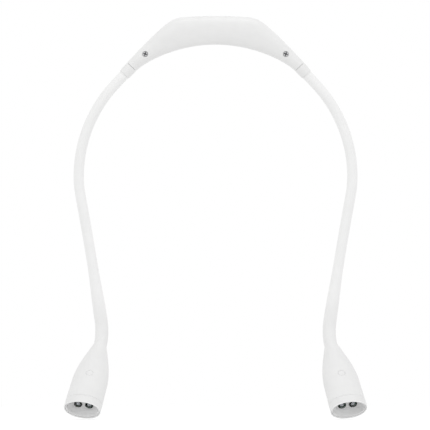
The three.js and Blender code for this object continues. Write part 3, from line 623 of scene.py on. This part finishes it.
groups = {"grain": grain_group(), "creases": crease_shade_group(), "marks": marks_group(), "reach": reach_group()}
finishes = {
    "white_shell": moulded(
        "white_shell_finish", light=(0.875, 0.875, 0.872), dark=(0.855, 0.855, 0.852),
        crease_shade=(0.6, 0.6, 0.6), rough=(0.36, 0.46), grain=0.16, bump=0.10, coat=0.06,
    ),
    "white_soft": moulded(
        "white_soft_finish", light=(0.94, 0.94, 0.937), dark=(0.92, 0.92, 0.917),
        crease_shade=(0.66, 0.66, 0.66), rough=(0.52, 0.64), grain=0.10, bump=0.14, sheen=0.12,
    ),
    "white_bowl": moulded(
        "white_bowl_finish", light=(0.975, 0.975, 0.975), dark=(0.96, 0.96, 0.96),
        crease_shade=(0.5, 0.5, 0.5), rough=(0.24, 0.32), grain=0.3, bump=0.04, coat=0.15,
    ),
    "black_plastic": moulded(
        "black_plastic_finish", light=(0.012, 0.012, 0.013), dark=(0.02, 0.02, 0.021),
        crease_shade=(0.006, 0.006, 0.006), rough=(0.35, 0.5), grain=0.12, bump=0.15,
    ),
    "cell_wrap": moulded(
        "cell_wrap_finish", light=(0.45, 0.48, 0.52), dark=(0.38, 0.41, 0.45),
        crease_shade=(0.2, 0.2, 0.22), rough=(0.22, 0.4), grain=1.4, bump=0.3, coat=0.2,
    ),
    "steel": metal("screw_steel_finish", (0.42, 0.42, 0.43), (0.22, 0.22, 0.23), (0.28, 0.42)),
    "screw_head": metal("screw_head_finish", (0.66, 0.66, 0.67), (0.40, 0.40, 0.41), (0.3, 0.45)),
    "reflector_metal": metal(
        "reflector_metal_finish", (0.74, 0.74, 0.75), (0.42, 0.42, 0.43), (0.12, 0.25),
    ),
    # chrome painted near-black: a painted reflection of dark surroundings
    "dark_chrome": metal(
        "dark_chrome_finish", (0.024, 0.024, 0.026), (0.01, 0.01, 0.011), (0.08, 0.16), size=1.2,
    ),
    "core_wire": wire_finish(),
    "clear_lens": clear_finish(),
    "board": board_finish(),
}
# painted shade: the whites darker towards the bottom
shade_from, shade_to = 205, 255  # how far down the whites turn a little greyer
for name, tone in (("white_soft", 0.905), ("white_shell", 0.95)):
    paint_shading(finishes[name], (0, 0, 1), shade_from, shade_to, (tone, tone, tone), "MULTIPLY")
trees = {"pair": pair_tree(), "sleeve": sleeve_tree()}


def dress(thing, finish, body=None, stands_for=()):
    """Gives a piece its finish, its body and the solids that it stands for."""
    thing.data.materials.clear()
    thing.data.materials.append(finishes[finish])
    if body:
        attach(thing, body)
    if stands_for:
        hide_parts(*stands_for)
    return thing


# Housing: the same outlines as the solids, with a smooth skin

arm_heading = Vector((math.sin(arm_splay), 0, -math.cos(arm_splay)))
end_centre = Vector((half_span, 0, -end_drop))
end_across = Vector((math.cos(arm_splay), 0, math.sin(arm_splay))) * end_radius
upper_end, lower_end = end_centre + end_across, end_centre - end_across


def even_along(points):
    """A function from a share of the length of a line to its place."""
    line = np.array([[p[0], p[2]] for p in points])
    steps = np.concatenate([[0], np.cumsum(np.linalg.norm(np.diff(line, axis=0), axis=1))])
    steps /= steps[-1]

    def place(share):
        return Vector((np.interp(share, steps, line[:, 0]), 0, np.interp(share, steps, line[:, 1])))

    return place


def curve_through(start, middle, end):
    """A curve from start to end that bends towards a middle point."""
    points = []
    for t in spread(0, 1, 200):
        points.append(start * (1 - t) ** 2 + middle * (2 * t * (1 - t)) + end * t ** 2)
    return points


def upper_outline():
    """The crowned top, the shoulder and the flank down to the arm."""
    crown_end = Vector((crown_half, 0, middle_height - crown_sag))
    fall = 2 * crown_sag / crown_half
    shoulder = Vector((shoulder_reach, 0, crown_end.z - fall * (shoulder_reach - crown_half)))
    flank = upper_end - arm_heading * flank_length
    slope = (flank - shoulder).normalized()
    slope_start = shoulder + slope * (shoulder - crown_end).length
    top = Vector((0, 0, middle_height))
    points = curve_through(top, Vector((crown_half / 2, 0, middle_height)), crown_end)
    points += curve_through(crown_end, shoulder, slope_start)[1:]
    return even_along(points + curve_through(slope_start, flank, upper_end)[1:])


def lower_outline():
    """The arch that lies on the neck, from its top to the arm."""
    level, tail = Vector((arch_reach, 0, 0)), lower_end - arm_heading * arch_tail
    points = []
    for t in spread(0, 1, 400):
        u = 1 - t
        points.append(level * (3 * u * u * t) + tail * (3 * u * t * t) + lower_end * t ** 3)
    return even_along(points)


upper, lower = upper_outline(), lower_outline()


def section_at(share):
    """The housing's section at a share of its half length: centre, up, half sizes, squareness."""
    side = -1 if share < 0 else 1
    top, bottom = upper(abs(share)), lower(abs(share))
    up = Vector(((top.x - bottom.x) * side, 0, top.z - bottom.z))
    centre = Vector(((top.x + bottom.x) / 2 * side, 0, (top.z + bottom.z) / 2))
    half_depth = blend_of(middle_depth / 2, end_radius, abs(share) ** depth_fall)
    squareness = blend_of(middle_squareness, 2, abs(share))
    return centre, up.normalized(), up.length / 2, half_depth, squareness


def half_section(share, facing, squeeze=0.0):
    """One half shell's section: its outer face, its rounded seam edges and its inner face."""
    centre, up, half_height, half_depth, squareness = section_at(share)
    half_height, half_depth = half_height - squeeze - skin_under, half_depth - squeeze - skin_under
    seam, corner = gap / 2, edge_round * edge_step

    def arc(inset, lift, count):
        tall, deep, bent = half_height - inset, half_depth - inset, 2 / squareness
        first = math.asin(min(1, (lift / deep) ** (1 / bent)))
        return [
            (tall * power(math.cos(t), bent), max(lift, deep * power(math.sin(t), bent)))
            for t in spread(first, math.pi - first, count)
        ]

    def beside(point, inwards, y):
        return point[0] - math.copysign(inwards, point[0]), y

    outer, inner = arc(0, seam + edge_round, 57), arc(shell_wall, seam, 31)[::-1]
    section = [beside(outer[0], edge_round, seam), beside(outer[0], corner, seam + corner)]
    section += outer
    section += [beside(outer[-1], corner, seam + corner), beside(outer[-1], edge_round, seam)]
    section += inner
    return [centre + up * z + Vector((0, facing * y, 0)) for z, y in section]


def half_shell(name, facing):
    """Half of the housing's shell, with small chamfers where the collars meet it."""
    chamfer, half_length, apart, widest = 0.15, 90, 1e-4, math.pi / 2 * 0.86
    stations = [math.sin(v) for v in spread(-widest, widest, 161)]  # closer together towards the ends
    stations = [v / stations[-1] for v in stations]
    near_end = 1 - chamfer / half_length
    rings = [half_section(-1, facing, chamfer), half_section(-near_end, facing)]
    rings += [half_section(v, facing) for v in stations if abs(v) < near_end - apart]
    rings += [half_section(near_end, facing), half_section(1, facing, chamfer)]
    return loft(name, rings)


screw_middle, screw_up, _, face_at_screw, _ = section_at(screw_share)
screw_x, _, screw_z = screw_middle + screw_up * screw_lift
screw_seat = -(face_at_screw - screw_sink - screw_head_height)


def front_skin():
    """The front half with a boss and a stepped hole for each screw."""
    skin, bosses, holes = half_shell("housing_front", -1), [], []
    outside, behind, boss_start, boss_end = -12, 1, screw_seat - 0.4, -1
    for s in SIDES.values():
        place = s * screw_x, screw_z
        bosses.append(rod_across("boss", screw_boss_radius, *place, boss_start, boss_end))
        holes.append(rod_across("head_hole", screw_head_radius + fine_gap, *place, outside, screw_seat))
        holes.append(rod_across("shank_hole", screw_hole_radius, *place, outside, behind))
    return dress(carved(skin, bosses, holes), "white_shell", "housing", ["front_shell"])


def rear_skin():
    """The rear half with its land, the charging slot and the hole of the charge light."""
    inside, outside, lens_fit = 5, 12, 0.15
    holes = [
        plate_across("land", land_width, land_height, land_round, 0, innards_z, land_y, outside),
        plate_across("slot", slot_width, slot_height, slot_height / 4, 0, innards_z, inside, outside),
        rod_across("lens_hole", charge_light_radius + lens_fit, charge_light_x, innards_z, inside, outside),
    ]
    skin = half_shell("housing_rear", 1)
    return dress(carved(skin, [], holes), "white_shell", "housing", ["rear_shell"])


def screw_pair():
    """Domed cross-head screws, one model set at both places."""
    radius, top, dome, side_at = screw_head_radius, -screw_head_height, 0.35, 0.5
    shank_radius, shank_end, tip = 1.2, 7.6, 8.8
    cross_length, cross_width, cross_round, cross_turn = 3.3, 0.75, 0.2, 0.35
    profile = [(0, top - 0.05)]
    profile += [(radius * s, top + dome * s ** 4) for s in (0.3, 0.5, 0.7, 0.85, 0.95)]
    profile += [(radius, top + side_at), (radius, 0), (shank_radius, 0), (shank_radius, shank_end), (0, tip)]
    cross = []
    for turn in (cross_turn, cross_turn + math.pi / 2):
        blade = plate_across("cross", cross_length, cross_width, cross_round, 0, 0, top - 1, top + 0.75)
        placed(blade, Matrix.Rotation(turn, 4, "Y"))
        cross.append(placed(blade, Matrix.Rotation(math.pi / 2, 4, "X")))
    head = carved(turned("screw_head", profile, 48), [], cross, angle=30)
    placed(head, Matrix.Rotation(-math.pi / 2, 4, "X"))
    face, cross_shade = -screw_seat - top, (0.03, 0.03, 0.032)
    # painted shade: the cross recess darkened below the head's face
    paint_shading(finishes["screw_head"], (0, 1, 0), face - 0.25, face - 0.7, cross_shade)
    places = [(s * screw_x, screw_seat, screw_z) for s in SIDES.values()]
    pair = set_in_pair("housing_screws", head, *places, "screw_head")
    return dress(pair, "screw_head", "housing", ["housing_screw_left", "housing_screw_right"])


def set_in_pair(name, model, first, second, finish):
    """One mesh of a model set at two places."""
    bpy.context.view_layer.update()
    made = mesh_object(name, [(0, 0, 0)], [])
    fill_inputs(made, trees["pair"], {
        "Piece": model,
        "First place": tuple(v * MM for v in first),
        "Second place": tuple(v * MM for v in second),
        "Finish": finishes[finish],
    })
    bpy.context.view_layer.update()
    made = finished(made, name)
    bpy.data.objects.remove(model)
    return made


def charge_lens():
    """The charge light: a clear rod with a low dome."""
    radius, length = charge_light_radius, 6
    lens = turned("charge_lens", [
        (0, land_y - length), (radius, land_y - length), (radius, land_y - 0.35),
        (radius * 0.8, land_y - 0.12), (radius * 0.45, land_y), (0, land_y + 0.03),
    ], 32)
    place = Matrix.Translation(Vector((charge_light_x, 0, innards_z)) * MM)
    placed(lens, place @ Matrix.Rotation(-math.pi / 2, 4, "X"))
    return dress(lens, "clear_lens", "housing", ["charge_light"])


# Arms

def arm_root(side):
    """The place of a collar, with its own Z along the arm."""
    along = Vector((arm_heading.x * side, 0, arm_heading.z))
    back = Vector((0, 1, 0))
    across = back.cross(along)
    matrix = Matrix((across, back, along)).transposed().to_4x4()
    matrix.translation = Vector((end_centre.x * side, 0, end_centre.z))
    return matrix


def collar_skin(side, name):
    """A collar with a spigot into the housing, a dark seam beside it and a rounded mouth."""
    rim, seam, deep, mouth, lip = 0.2, 0.3, 0.9, collar_mouth_radius, 0.5
    bore, inner = 3.3, sleeve_radius + fine_gap
    spigot_start, foot, lip_at = -8, 0.04, collar_length - lip
    profile = [(bore, spigot_start), (spigot_radius, spigot_start), (spigot_radius, foot)]
    profile += [(end_radius - deep, foot), (end_radius - deep, seam), (end_radius - rim, seam)]
    profile += [(end_radius - rim * edge_step, seam + rim * edge_step), (end_radius, seam + rim)]
    for s in spread(0.1, 1, 8):
        profile.append((blend_of(end_radius, mouth, s ** 1.5), blend_of(seam + rim, lip_at, s)))
    middle, half = (mouth + inner) / 2, (mouth - inner) / 2
    profile += [(middle + half * out, lip_at + lip * up) for out, up in half_round(8)]
    profile += [(inner, collar_length - 0.6), (inner, collar_length - 5), (bore, collar_length - 6)]
    made = placed(turned(f"arm_collar_{name}", profile, 72), in_mm(arm_root(side)))
    return dress(made, "white_shell", "housing", [f"collar_{name}"])


def head_frame(side):
    """The directions of a head: along it, across its wide side and out of its front."""
    along = Vector((
        side * math.sin(head_lean) * math.cos(head_tilt),
        -math.sin(head_tilt),
        -math.cos(head_lean) * math.cos(head_tilt),
    ))
    level = Vector((math.cos(head_lean), 0, side * math.sin(head_lean)))
    wide = Matrix.Rotation(-side * head_roll, 3, along) @ level
    return along, wide, along.cross(wide)


def arm_stretches():
    """The left arm's line in stretches of even turn: run, first and last direction."""
    def lean(angle):
        return Vector((-math.sin(angle), 0, -math.cos(angle)))

    out, down, inwards, returned = lean(arm_splay), lean(0), lean(-arm_inward), lean(-arm_return)
    head = head_frame(-1)[0]
    return [
        (upper_run, out, out),
        (upper_bend * arm_splay, out, down),
        (inner_bend * arm_inward, down, inwards),
        (lower_run, inwards, returned),
        (head_bend * returned.angle(head), returned, head),
    ]


stretches = arm_stretches()
arm_length = sum(s[0] for s in stretches)
joint_lengths = [blend_of(ball_ahead, arm_length, i / arm_pieces) for i in range(arm_pieces + 1)]
boot_end = arm_length - boot_run
boot_start = boot_end - boot_taper


def arm_at(side, length):
    """Place and direction at a length along an arm."""
    along = Vector((-arm_heading.x, 0, arm_heading.z))
    place = Vector((-end_centre.x, 0, end_centre.z)) + along * collar_length
    left = length
    for k, (run, first, last) in enumerate(stretches):
        if left <= 0 and k:
            break
        part = left if k == len(stretches) - 1 else min(left, run)
        turn = first.angle(last) if (first - last).length > TINY else 0
        if turn:
            inward = (last - first * math.cos(turn)) / math.sin(turn)
            radius, angle = run / turn, part * turn / run
            place = place + first * (radius * math.sin(angle)) + inward * (radius * (1 - math.cos(angle)))
            along = first * math.cos(angle) + inward * math.sin(angle)
        else:
            place, along = place + first * part, first.copy()
        left -= part
    flip = -side
    return Vector((place.x * flip, place.y, place.z)), Vector((along.x * flip, along.y, along.z))


def sleeve_piece(side, name, index):
    """The sleeve from the middle of one length of the arm to the middle of the next."""
    in_collar, ring_spacing, piece = 2.5, 1.2, f"sleeve_{name}_{index + 1}"
    low = -in_collar if index == 0 else (joint_lengths[index - 1] + joint_lengths[index]) / 2
    high = (joint_lengths[index] + joint_lengths[index + 1]) / 2
    steps = max(8, round((high - low) / ring_spacing))
    curve = bpy.data.curves.new("arm_line", "CURVE")
    curve.dimensions = "3D"
    line = curve.splines.new("POLY")
    line.points.add(steps)
    for k, length in enumerate(spread(low, high, steps + 1)):
        line.points[k].co = (*arm_at(side, length)[0] * MM, 1)
    made = bpy.data.objects.new("arm_line", curve)
    bpy.context.scene.collection.objects.link(made)
    fill_inputs(made, trees["sleeve"], {
        "Starts at": low * MM, "Radius": sleeve_radius * MM, "Boot radius": boot_radius * MM,
        "Boot start": boot_start * MM, "Boot end": boot_end * MM, "Sides": 56,
        "Finish": finishes["white_soft"],
    })
    bpy.context.view_layer.update()
    made = face_by_wall(finished(made, piece), side, low)
    wall = made.modifiers.new("wall", "SOLIDIFY")
    wall.thickness, wall.offset = sleeve_wall * MM, -1
    made = finished(made, piece)
    made.data.polygons.foreach_set("use_smooth", [True] * len(made.data.polygons))
    sharpen(made, degrees=50)
    return blended(made, side, index, [f"arm_sleeve_{name}_{index + 1}"])


def face_by_wall(made, side, low):
    """Turns the open tube's faces outwards before it gets its wall."""
    centre = arm_at(side, low)[0] * MM
    face = min(made.data.polygons, key=lambda f: (f.center - centre).length)
    if face.normal.dot(face.center - centre) < 0:
        made.data.flip_normals()
    return made


def blended(thing, side, index, stands_for):
    """Dresses a soft piece and bakes its place into its mesh; it is given no body, and the joint's place
    worked out here is not used.
    """
    joint, along = arm_at(side, joint_lengths[index])
    dress(thing, "white_soft", stands_for=stands_for)
    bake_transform(thing)
    return thing


# Heads

def flare_at(along):
    """How far the head has swollen at a length from its root, from 0 to 1."""
    share = min(max((along - flare_start) / flare_length, 0), 1)
    return 1.5 * share - 0.5 * share ** 3


def head_oval(along, half_width, half_depth, squareness, sides):
    """An oval square to a head's own line."""
    centre, right, front = Vector((0, 0, along)), Vector((1, 0, 0)), Vector((0, 1, 0))
    return oval(centre, right, front, half_width, half_depth, squareness, sides)


def head_ring(along, inset=0.0, sides=head_sides):
    """The head's outline at a length from its root, moved inwards by inset."""
    flare = flare_at(along)
    reach = along / head_length * flare
    widening, deepening = body_half_width - boot_radius, body_half_depth - boot_radius
    width = boot_radius + widening * flare + (mouth_half_width - body_half_width) * reach
    depth = boot_radius + deepening * flare + (mouth_half_depth - body_half_depth) * reach
    return head_oval(along, width - inset, depth - inset, 2 + (head_squareness - 2) * flare, sides)


def head_place(side):
    """The place of a head's root, with its own Z along the head, in millimetres."""
    along, wide, front = head_frame(side)
    matrix = Matrix((wide, front, along)).transposed().to_4x4()
    matrix.translation = arm_at(side, arm_length)[0]
    return matrix


def head_root(side, name):
    """The soft stretch from the middle of the last length of the arm into the head's flare."""
    low, sides = (joint_lengths[-2] + joint_lengths[-1]) / 2, 72
    place = head_place(side)
    level = place.to_3x3() @ Vector((1, 0, 0))

    def arm_ring(length, radius):
        centre, along = arm_at(side, length)
        wide = (level - along * level.dot(along)).normalized()
        return oval(centre, wide, along.cross(wide), radius, radius, 2, sides)

    rings = []
    for length in spread(low, arm_length, 30):
        swell = smooth_step(length, boot_start, boot_end)
        rings.append(arm_ring(length, blend_of(sleeve_radius, boot_radius, swell)))
    for along in spread(0, cover_start, 14)[1:]:
        rings.append([place @ p for p in head_ring(along, 0, sides)])
    for along in (cover_start, cover_start / 2):
        rings.append([place @ p for p in head_oval(along, core_room, core_room, 2, sides)])
    rings += [arm_ring(length, core_room) for length in spread(low, arm_length, 12)[::-1]]
    made = sharpen(loft(f"sleeve_{name}_6", rings, through=True), degrees=50)
    return blended(made, side, arm_pieces, [f"head_cover_{name}"])


def cover_skin(side, name):
    """The flared cover, with the hole that its button comes through."""
    flare_end, turned_edge = flare_start + flare_length, cover_length - fine_edge
    hole_fit, outside = 0.1, 16
    rings = [head_ring(along) for along in spread(cover_start, flare_end, 40)]
    rings += [head_ring(along) for along in spread(flare_end, turned_edge, 10)[1:]]
    rings += [head_ring(cover_length - fine_edge * edge_step, fine_edge * edge_step)]
    rings += [head_ring(cover_length, fine_edge), head_ring(cover_length, cover_wall)]
    rings += [head_ring(along, cover_wall) for along in spread(cover_length - 1, cover_start, 24)]
    skin = loft(f"head_skin_{name}", rings, through=True)
    hole = rod("button_hole", button_radius + hole_fit, 0, outside)
    skin = placed(carved(skin, [], [on_the_front(hole)], angle=40), in_mm(head_place(side)))
    return dress(skin, "white_soft", f"head_{name}", [f"head_cover_{name}"])


def on_the_front(thing):
    """Turns what stands upright to stand on the front of a head, where the button is."""
    placed(thing, Matrix.Rotation(-math.pi / 2, 4, "X"))
    return placed(thing, Matrix.Translation((0, 0, button_along * MM)))


def bezel_skin(side, name):
    """The bezel: its spigot in the cover, the fine seam, the rounded lip and the ledge under it."""
    start, seam, lip = cover_length - bezel_spigot, cover_length + fine_gap, mouth_lip / 2
    spigot, inside = cover_wall + gap, bezel_wall + cover_wall + gap
    rings = [head_ring(start, spigot), head_ring(seam, spigot), head_ring(seam, fine_edge)]
    rings += [head_ring(seam + fine_edge * edge_step, fine_edge * edge_step)]
    rings += [head_ring(along) for along in spread(seam + fine_edge, mouth_at - lip, 8)]
    rings += [head_ring(mouth_at - lip + lip * up, lip - lip * out) for out, up in half_round(9)]
    widening = bezel_wall - mouth_lip
    for share in spread(0, 1, 5):
        inset = mouth_lip + widening * math.sin(share * math.pi / 2)
        rings.append(head_ring(mouth_at - lip - bowl_sink * share, inset))
    ledge = floor_at - bowl_floor_thickness - gap
    rings += [head_ring(ledge, bezel_wall), head_ring(ledge, inside), head_ring(start, inside)]
    made = sharpen(loft(f"head_bezel_{name}", rings, through=True), degrees=40)
    return dress(placed(made, in_mm(head_place(side))), "white_shell", f"head_{name}", [f"bezel_{name}"])


def shade_mouths():
    """Paints shade into the bowls, darker towards their floor, and a painted highlight onto the lips of the
    bezels.
    """
    way = mirrored(head_frame(1)[0])
    root_at = mirrored(arm_at(1, arm_length)[0]).dot(way)
    mouth, floor = root_at + mouth_at, root_at + floor_at
    paint_shading(finishes["white_bowl"], way, mouth - bowl_sink - 1, floor, (0.78, 0.78, 0.78), "MULTIPLY")
    paint_shading(finishes["white_shell"], way, mouth - 0.5, mouth - 0.2, (0.99, 0.99, 0.99))


def bowl_skin(side, name):
    """The smooth bowl with its rounded rim, and a hole for each cup."""
    rim, half, hole_fit = 0.3, bowl_rim / 2, 0.1
    rim_at = mouth_at - bowl_sink - rim
    rings = [head_ring(floor_at - bowl_floor_thickness, bowl_inset), head_ring(rim_at, bowl_inset)]
    rings += [head_ring(rim_at + rim * up, bowl_inset + half - half * out) for out, up in half_round(7)]
    for turn in spread(0, math.pi / 2, 16):
        along = floor_at + (rim_at - floor_at) * (1 - math.sin(turn))
        rings.append(head_ring(along, bowl_inset + bowl_rim + bowl_spread * (1 - math.cos(turn))))
    holes, under, over = [], floor_at - 4, floor_at + 2
    for s in SIDES.values():
        hole = rod("cup_hole", cup_radius + hole_fit, under, over)
        holes.append(placed(hole, Matrix.Translation((s * light_spacing / 2 * MM, 0, 0))))
    bowl = carved(loft(f"head_bowl_{name}", rings), [], holes, angle=30)
    return dress(placed(bowl, in_mm(head_place(side))), "white_bowl", f"head_{name}", [f"bowl_{name}"])


def light_pair(side, name, what, profile, finish, stands_for, sides=48):
    """One turned piece of the lights, set at both places of a head."""
    model = placed(turned(what, profile, sides), in_mm(head_place(side)))
    shift = head_frame(side)[1] * (light_spacing / 2)
    made = set_in_pair(f"{what}_{name}", model, -shift, shift, finish)
    return dress(made, finish, f"head_{name}", stands_for)


def head_lights(side, name):
    """The clear lights of a head, the chrome cups round them, painted dark as a painted reflection of dark
    surroundings, and the small bright cups inside.
    """
    each = ("outer", "inner")
    base, flange = board_top + gap, bulb_radius + bulb_flange
    flange_top, dome = base + bulb_flange_height, base + bulb_body
    lens = [(0, base), (flange, base), (flange, flange_top), (bulb_radius, flange_top + 0.1)]
    for turn in spread(0, math.pi / 2, 15)[:-1]:
        lens.append((bulb_radius * math.cos(turn), dome + bulb_radius * math.sin(turn)))
    lens.append((0, dome + bulb_radius))
    light_pair(side, name, "lamp_lens", lens, "clear_lens", [f"light_{name}_{e}" for e in each])
    low, rim, inner, outer = flange_top + gap, floor_at + cup_rim_height, bulb_radius + gap, cup_radius
    foot = outer + cup_flange
    cup = [(inner, low), (foot, low), (foot, low + cup_flange_height), (outer, low + cup_flange_height)]
    cup += [(outer, rim - 0.15), (outer - 0.05, rim - 0.04), (outer - 0.15, rim)]
    cup += [(inner + cup_rim_lip, rim - 0.02), (inner + 0.08, rim - 0.2), (inner, rim - 0.6)]
    light_pair(side, name, "lamp_cup", cup, "dark_chrome", [f"light_cup_{name}_{e}" for e in each])
    seat = base + 1.5
    bright = [(0, seat - 1), (1.0, seat - 1), (1.15, seat + 1.5), (1.05, seat + 1.55), (0.85, seat + 1.1)]
    bright += [(0.5, seat + 0.3), (0.25, seat + 0.15), (0, seat + 0.15)]
    light_pair(side, name, "lamp_reflector", bright, "reflector_metal", [], 32)


def head_top(inset):
    """How far in front of a head's middle line its skin lies beside the button."""
    return head_ring(button_along, inset)[head_sides // 4].y


def button_skin(side, name):
    """A soft round button: a crowned top, a flange under the cover and a stem."""
    radius, flange, flange_height, edge = button_radius, button_radius + 1, 1, 0.45
    stem_radius, stem_length, shoulder, crown = 1.5, 2.2, 0.55, 0.2
    top, under = head_top(0) + button_proud, head_top(cover_wall) - 0.8
    profile = [(0, under - stem_length), (stem_radius, under - stem_length)]
    profile += [(stem_radius, under - flange_height), (flange, under - flange_height), (flange, under)]
    profile += [(radius, under), (radius, top - shoulder)]
    for turn in spread(0.2, 1.3, 6):
        profile.append((radius - edge + edge * math.cos(turn), top - shoulder + edge * math.sin(turn)))
    profile += [(radius * s, top - 0.1 + 0.3 * (1 - s * s)) for s in (0.8, 0.6, 0.4, 0.2)]
    profile.append((0, top + crown))
    made = placed(on_the_front(turned(f"soft_button_{name}", profile, 48)), in_mm(head_place(side)))
    return dress(made, "white_soft", f"button_{name}", [f"power_button_{name}"])


# Camera and pieces

picture_pixels, pixel_size = 430, 0.835  # the picture's width, and the millimetres in each pixel
sensor = 36
camera_across, camera_distance, camera_height = -0.00045, 16.0, -0.1422


def front_camera():
    """Far away with a long lens, so that the light is seen almost without perspective."""
    data = bpy.data.cameras.new("front_camera")
    data.sensor_width = sensor
    data.lens = sensor * camera_distance / (picture_pixels * pixel_size * MM)
    data.clip_start, data.clip_end = 1, 60
    camera = bpy.data.objects.new("front_camera", data)
    bpy.context.scene.collection.objects.link(camera)
    camera.location = (camera_across, -camera_distance, camera_height)
    camera.rotation_euler = (math.pi / 2, 0, 0)
    bpy.context.scene.camera = camera


front_camera()
front_skin()
rear_skin()
screw_pair()
charge_lens()
for side_name, side in SIDES.items():
    collar_skin(side, side_name)
    for piece_index in range(arm_pieces):
        sleeve_piece(side, side_name, piece_index)
    head_root(side, side_name)
    cover_skin(side, side_name)
    bezel_skin(side, side_name)
    bowl_skin(side, side_name)
    head_lights(side, side_name)
    button_skin(side, side_name)

shade_mouths()

inner_finishes = {  # of the solids that stay, by the starts of their names
    "battery_cell": "cell_wrap", "charge_board": "board", "charge_socket": "steel", "arm_anchor": "steel",
    "arm_core": "core_wire", "head_frame": "white_shell", "head_anchor": "steel", "light_board": "board",
    "power_switch": "black_plastic", "switch_board": "board",
}
for node_name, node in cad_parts.items():
    for start, finish in inner_finishes.items():
        if node_name.startswith(start):
            node.data.materials.clear()
            node.data.materials.append(finishes[finish])

# Floor, world and lamps


def seen_directly(tree):
    """1 for what the camera sees directly, in polished metal or through glass."""
    seen = tree.nodes.new("ShaderNodeLightPath")
    total = seen.outputs["Is Camera Ray"]
    for kind in ("Is Glossy Ray", "Is Transmission Ray"):
        either = tree.nodes.new("ShaderNodeMath")
        either.operation = "MAXIMUM"
        tree.links.new(total, either.inputs[0])
        tree.links.new(seen.outputs[kind], either.inputs[1])
        total = either.outputs[0]
    return total


def plain_floor():
    """A pale floor just under the light, seen from above only."""
    half, clearance, tone, glow = 1000, 0.0006, 0.88, 0.27
    corners = [(-half, -half, 0), (half, -half, 0), (half, half, 0), (-half, half, 0)]
    floor = mesh_object("floor", corners, [(0, 1, 2, 3)])
    placed(floor, Matrix.Translation((0, 0, solid_box[0].z - clearance)))
    made = bpy.data.materials.new("pale_floor")
    made.use_nodes = True
    nodes, link = made.node_tree.nodes, made.node_tree.links.new
    nodes.clear()
    matt = nodes.new("ShaderNodeBsdfDiffuse")
    matt.inputs["Color"].default_value = (tone, tone, tone, 1)
    lift = nodes.new("ShaderNodeEmission")
    share = nodes.new("ShaderNodeMath")
    share.operation = "MULTIPLY"
    share.inputs[1].default_value = glow
    link(seen_directly(made.node_tree), share.inputs[0])
    link(share.outputs[0], lift.inputs["Strength"])
    both = nodes.new("ShaderNodeAddShader")
    below, clear = nodes.new("ShaderNodeNewGeometry"), nodes.new("ShaderNodeBsdfTransparent")
    one_way = nodes.new("ShaderNodeMixShader")
    out = nodes.new("ShaderNodeOutputMaterial")
    link(matt.outputs[0], both.inputs[0])
    link(lift.outputs[0], both.inputs[1])
    link(below.outputs["Backfacing"], one_way.inputs["Fac"])
    link(both.outputs[0], one_way.inputs[1])
    link(clear.outputs[0], one_way.inputs[2])
    link(one_way.outputs[0], out.inputs["Surface"])
    floor.data.materials.append(made)


def pale_world(lit):
    """A white room that lights the object with less than the strength at which it is seen."""
    world = bpy.data.worlds.new("pale_room")
    bpy.context.scene.world = world
    world.use_nodes = True
    nodes, link = world.node_tree.nodes, world.node_tree.links.new
    nodes.clear()
    back = nodes.new("ShaderNodeBackground")
    strength = ranged(world.node_tree, seen_directly(world.node_tree), to_min=lit, to_max=1.0)
    link(strength, back.inputs["Strength"])
    back.inputs["Color"].default_value = (1, 1, 1, 1)
    out = nodes.new("ShaderNodeOutputWorld")
    link(back.outputs[0], out.inputs["Surface"])


def softbox(name, size, watts, place):
    """A square lamp turned towards the middle of the light."""
    data = bpy.data.lights.new(name, "AREA")
    data.size, data.energy = size, watts
    made = bpy.data.objects.new(name, data)
    bpy.context.scene.collection.objects.link(made)
    made.location = place
    made.rotation_euler = (Vector(lit_middle) - Vector(place)).to_track_quat("-Z", "Y").to_euler()


lit_middle = (0, 0, -0.15)
plain_floor()
pale_world(lit=0.755)
softbox("top_softbox", 1.6, 7, (0.1, -0.3, 1.9))
for name, across in (("left_softbox", -3.4), ("right_softbox", 3.4)):
    softbox(name, 1.9, 20, (across, -2.4, 0.84))
bpy.context.scene.view_settings.view_transform = "Standard"
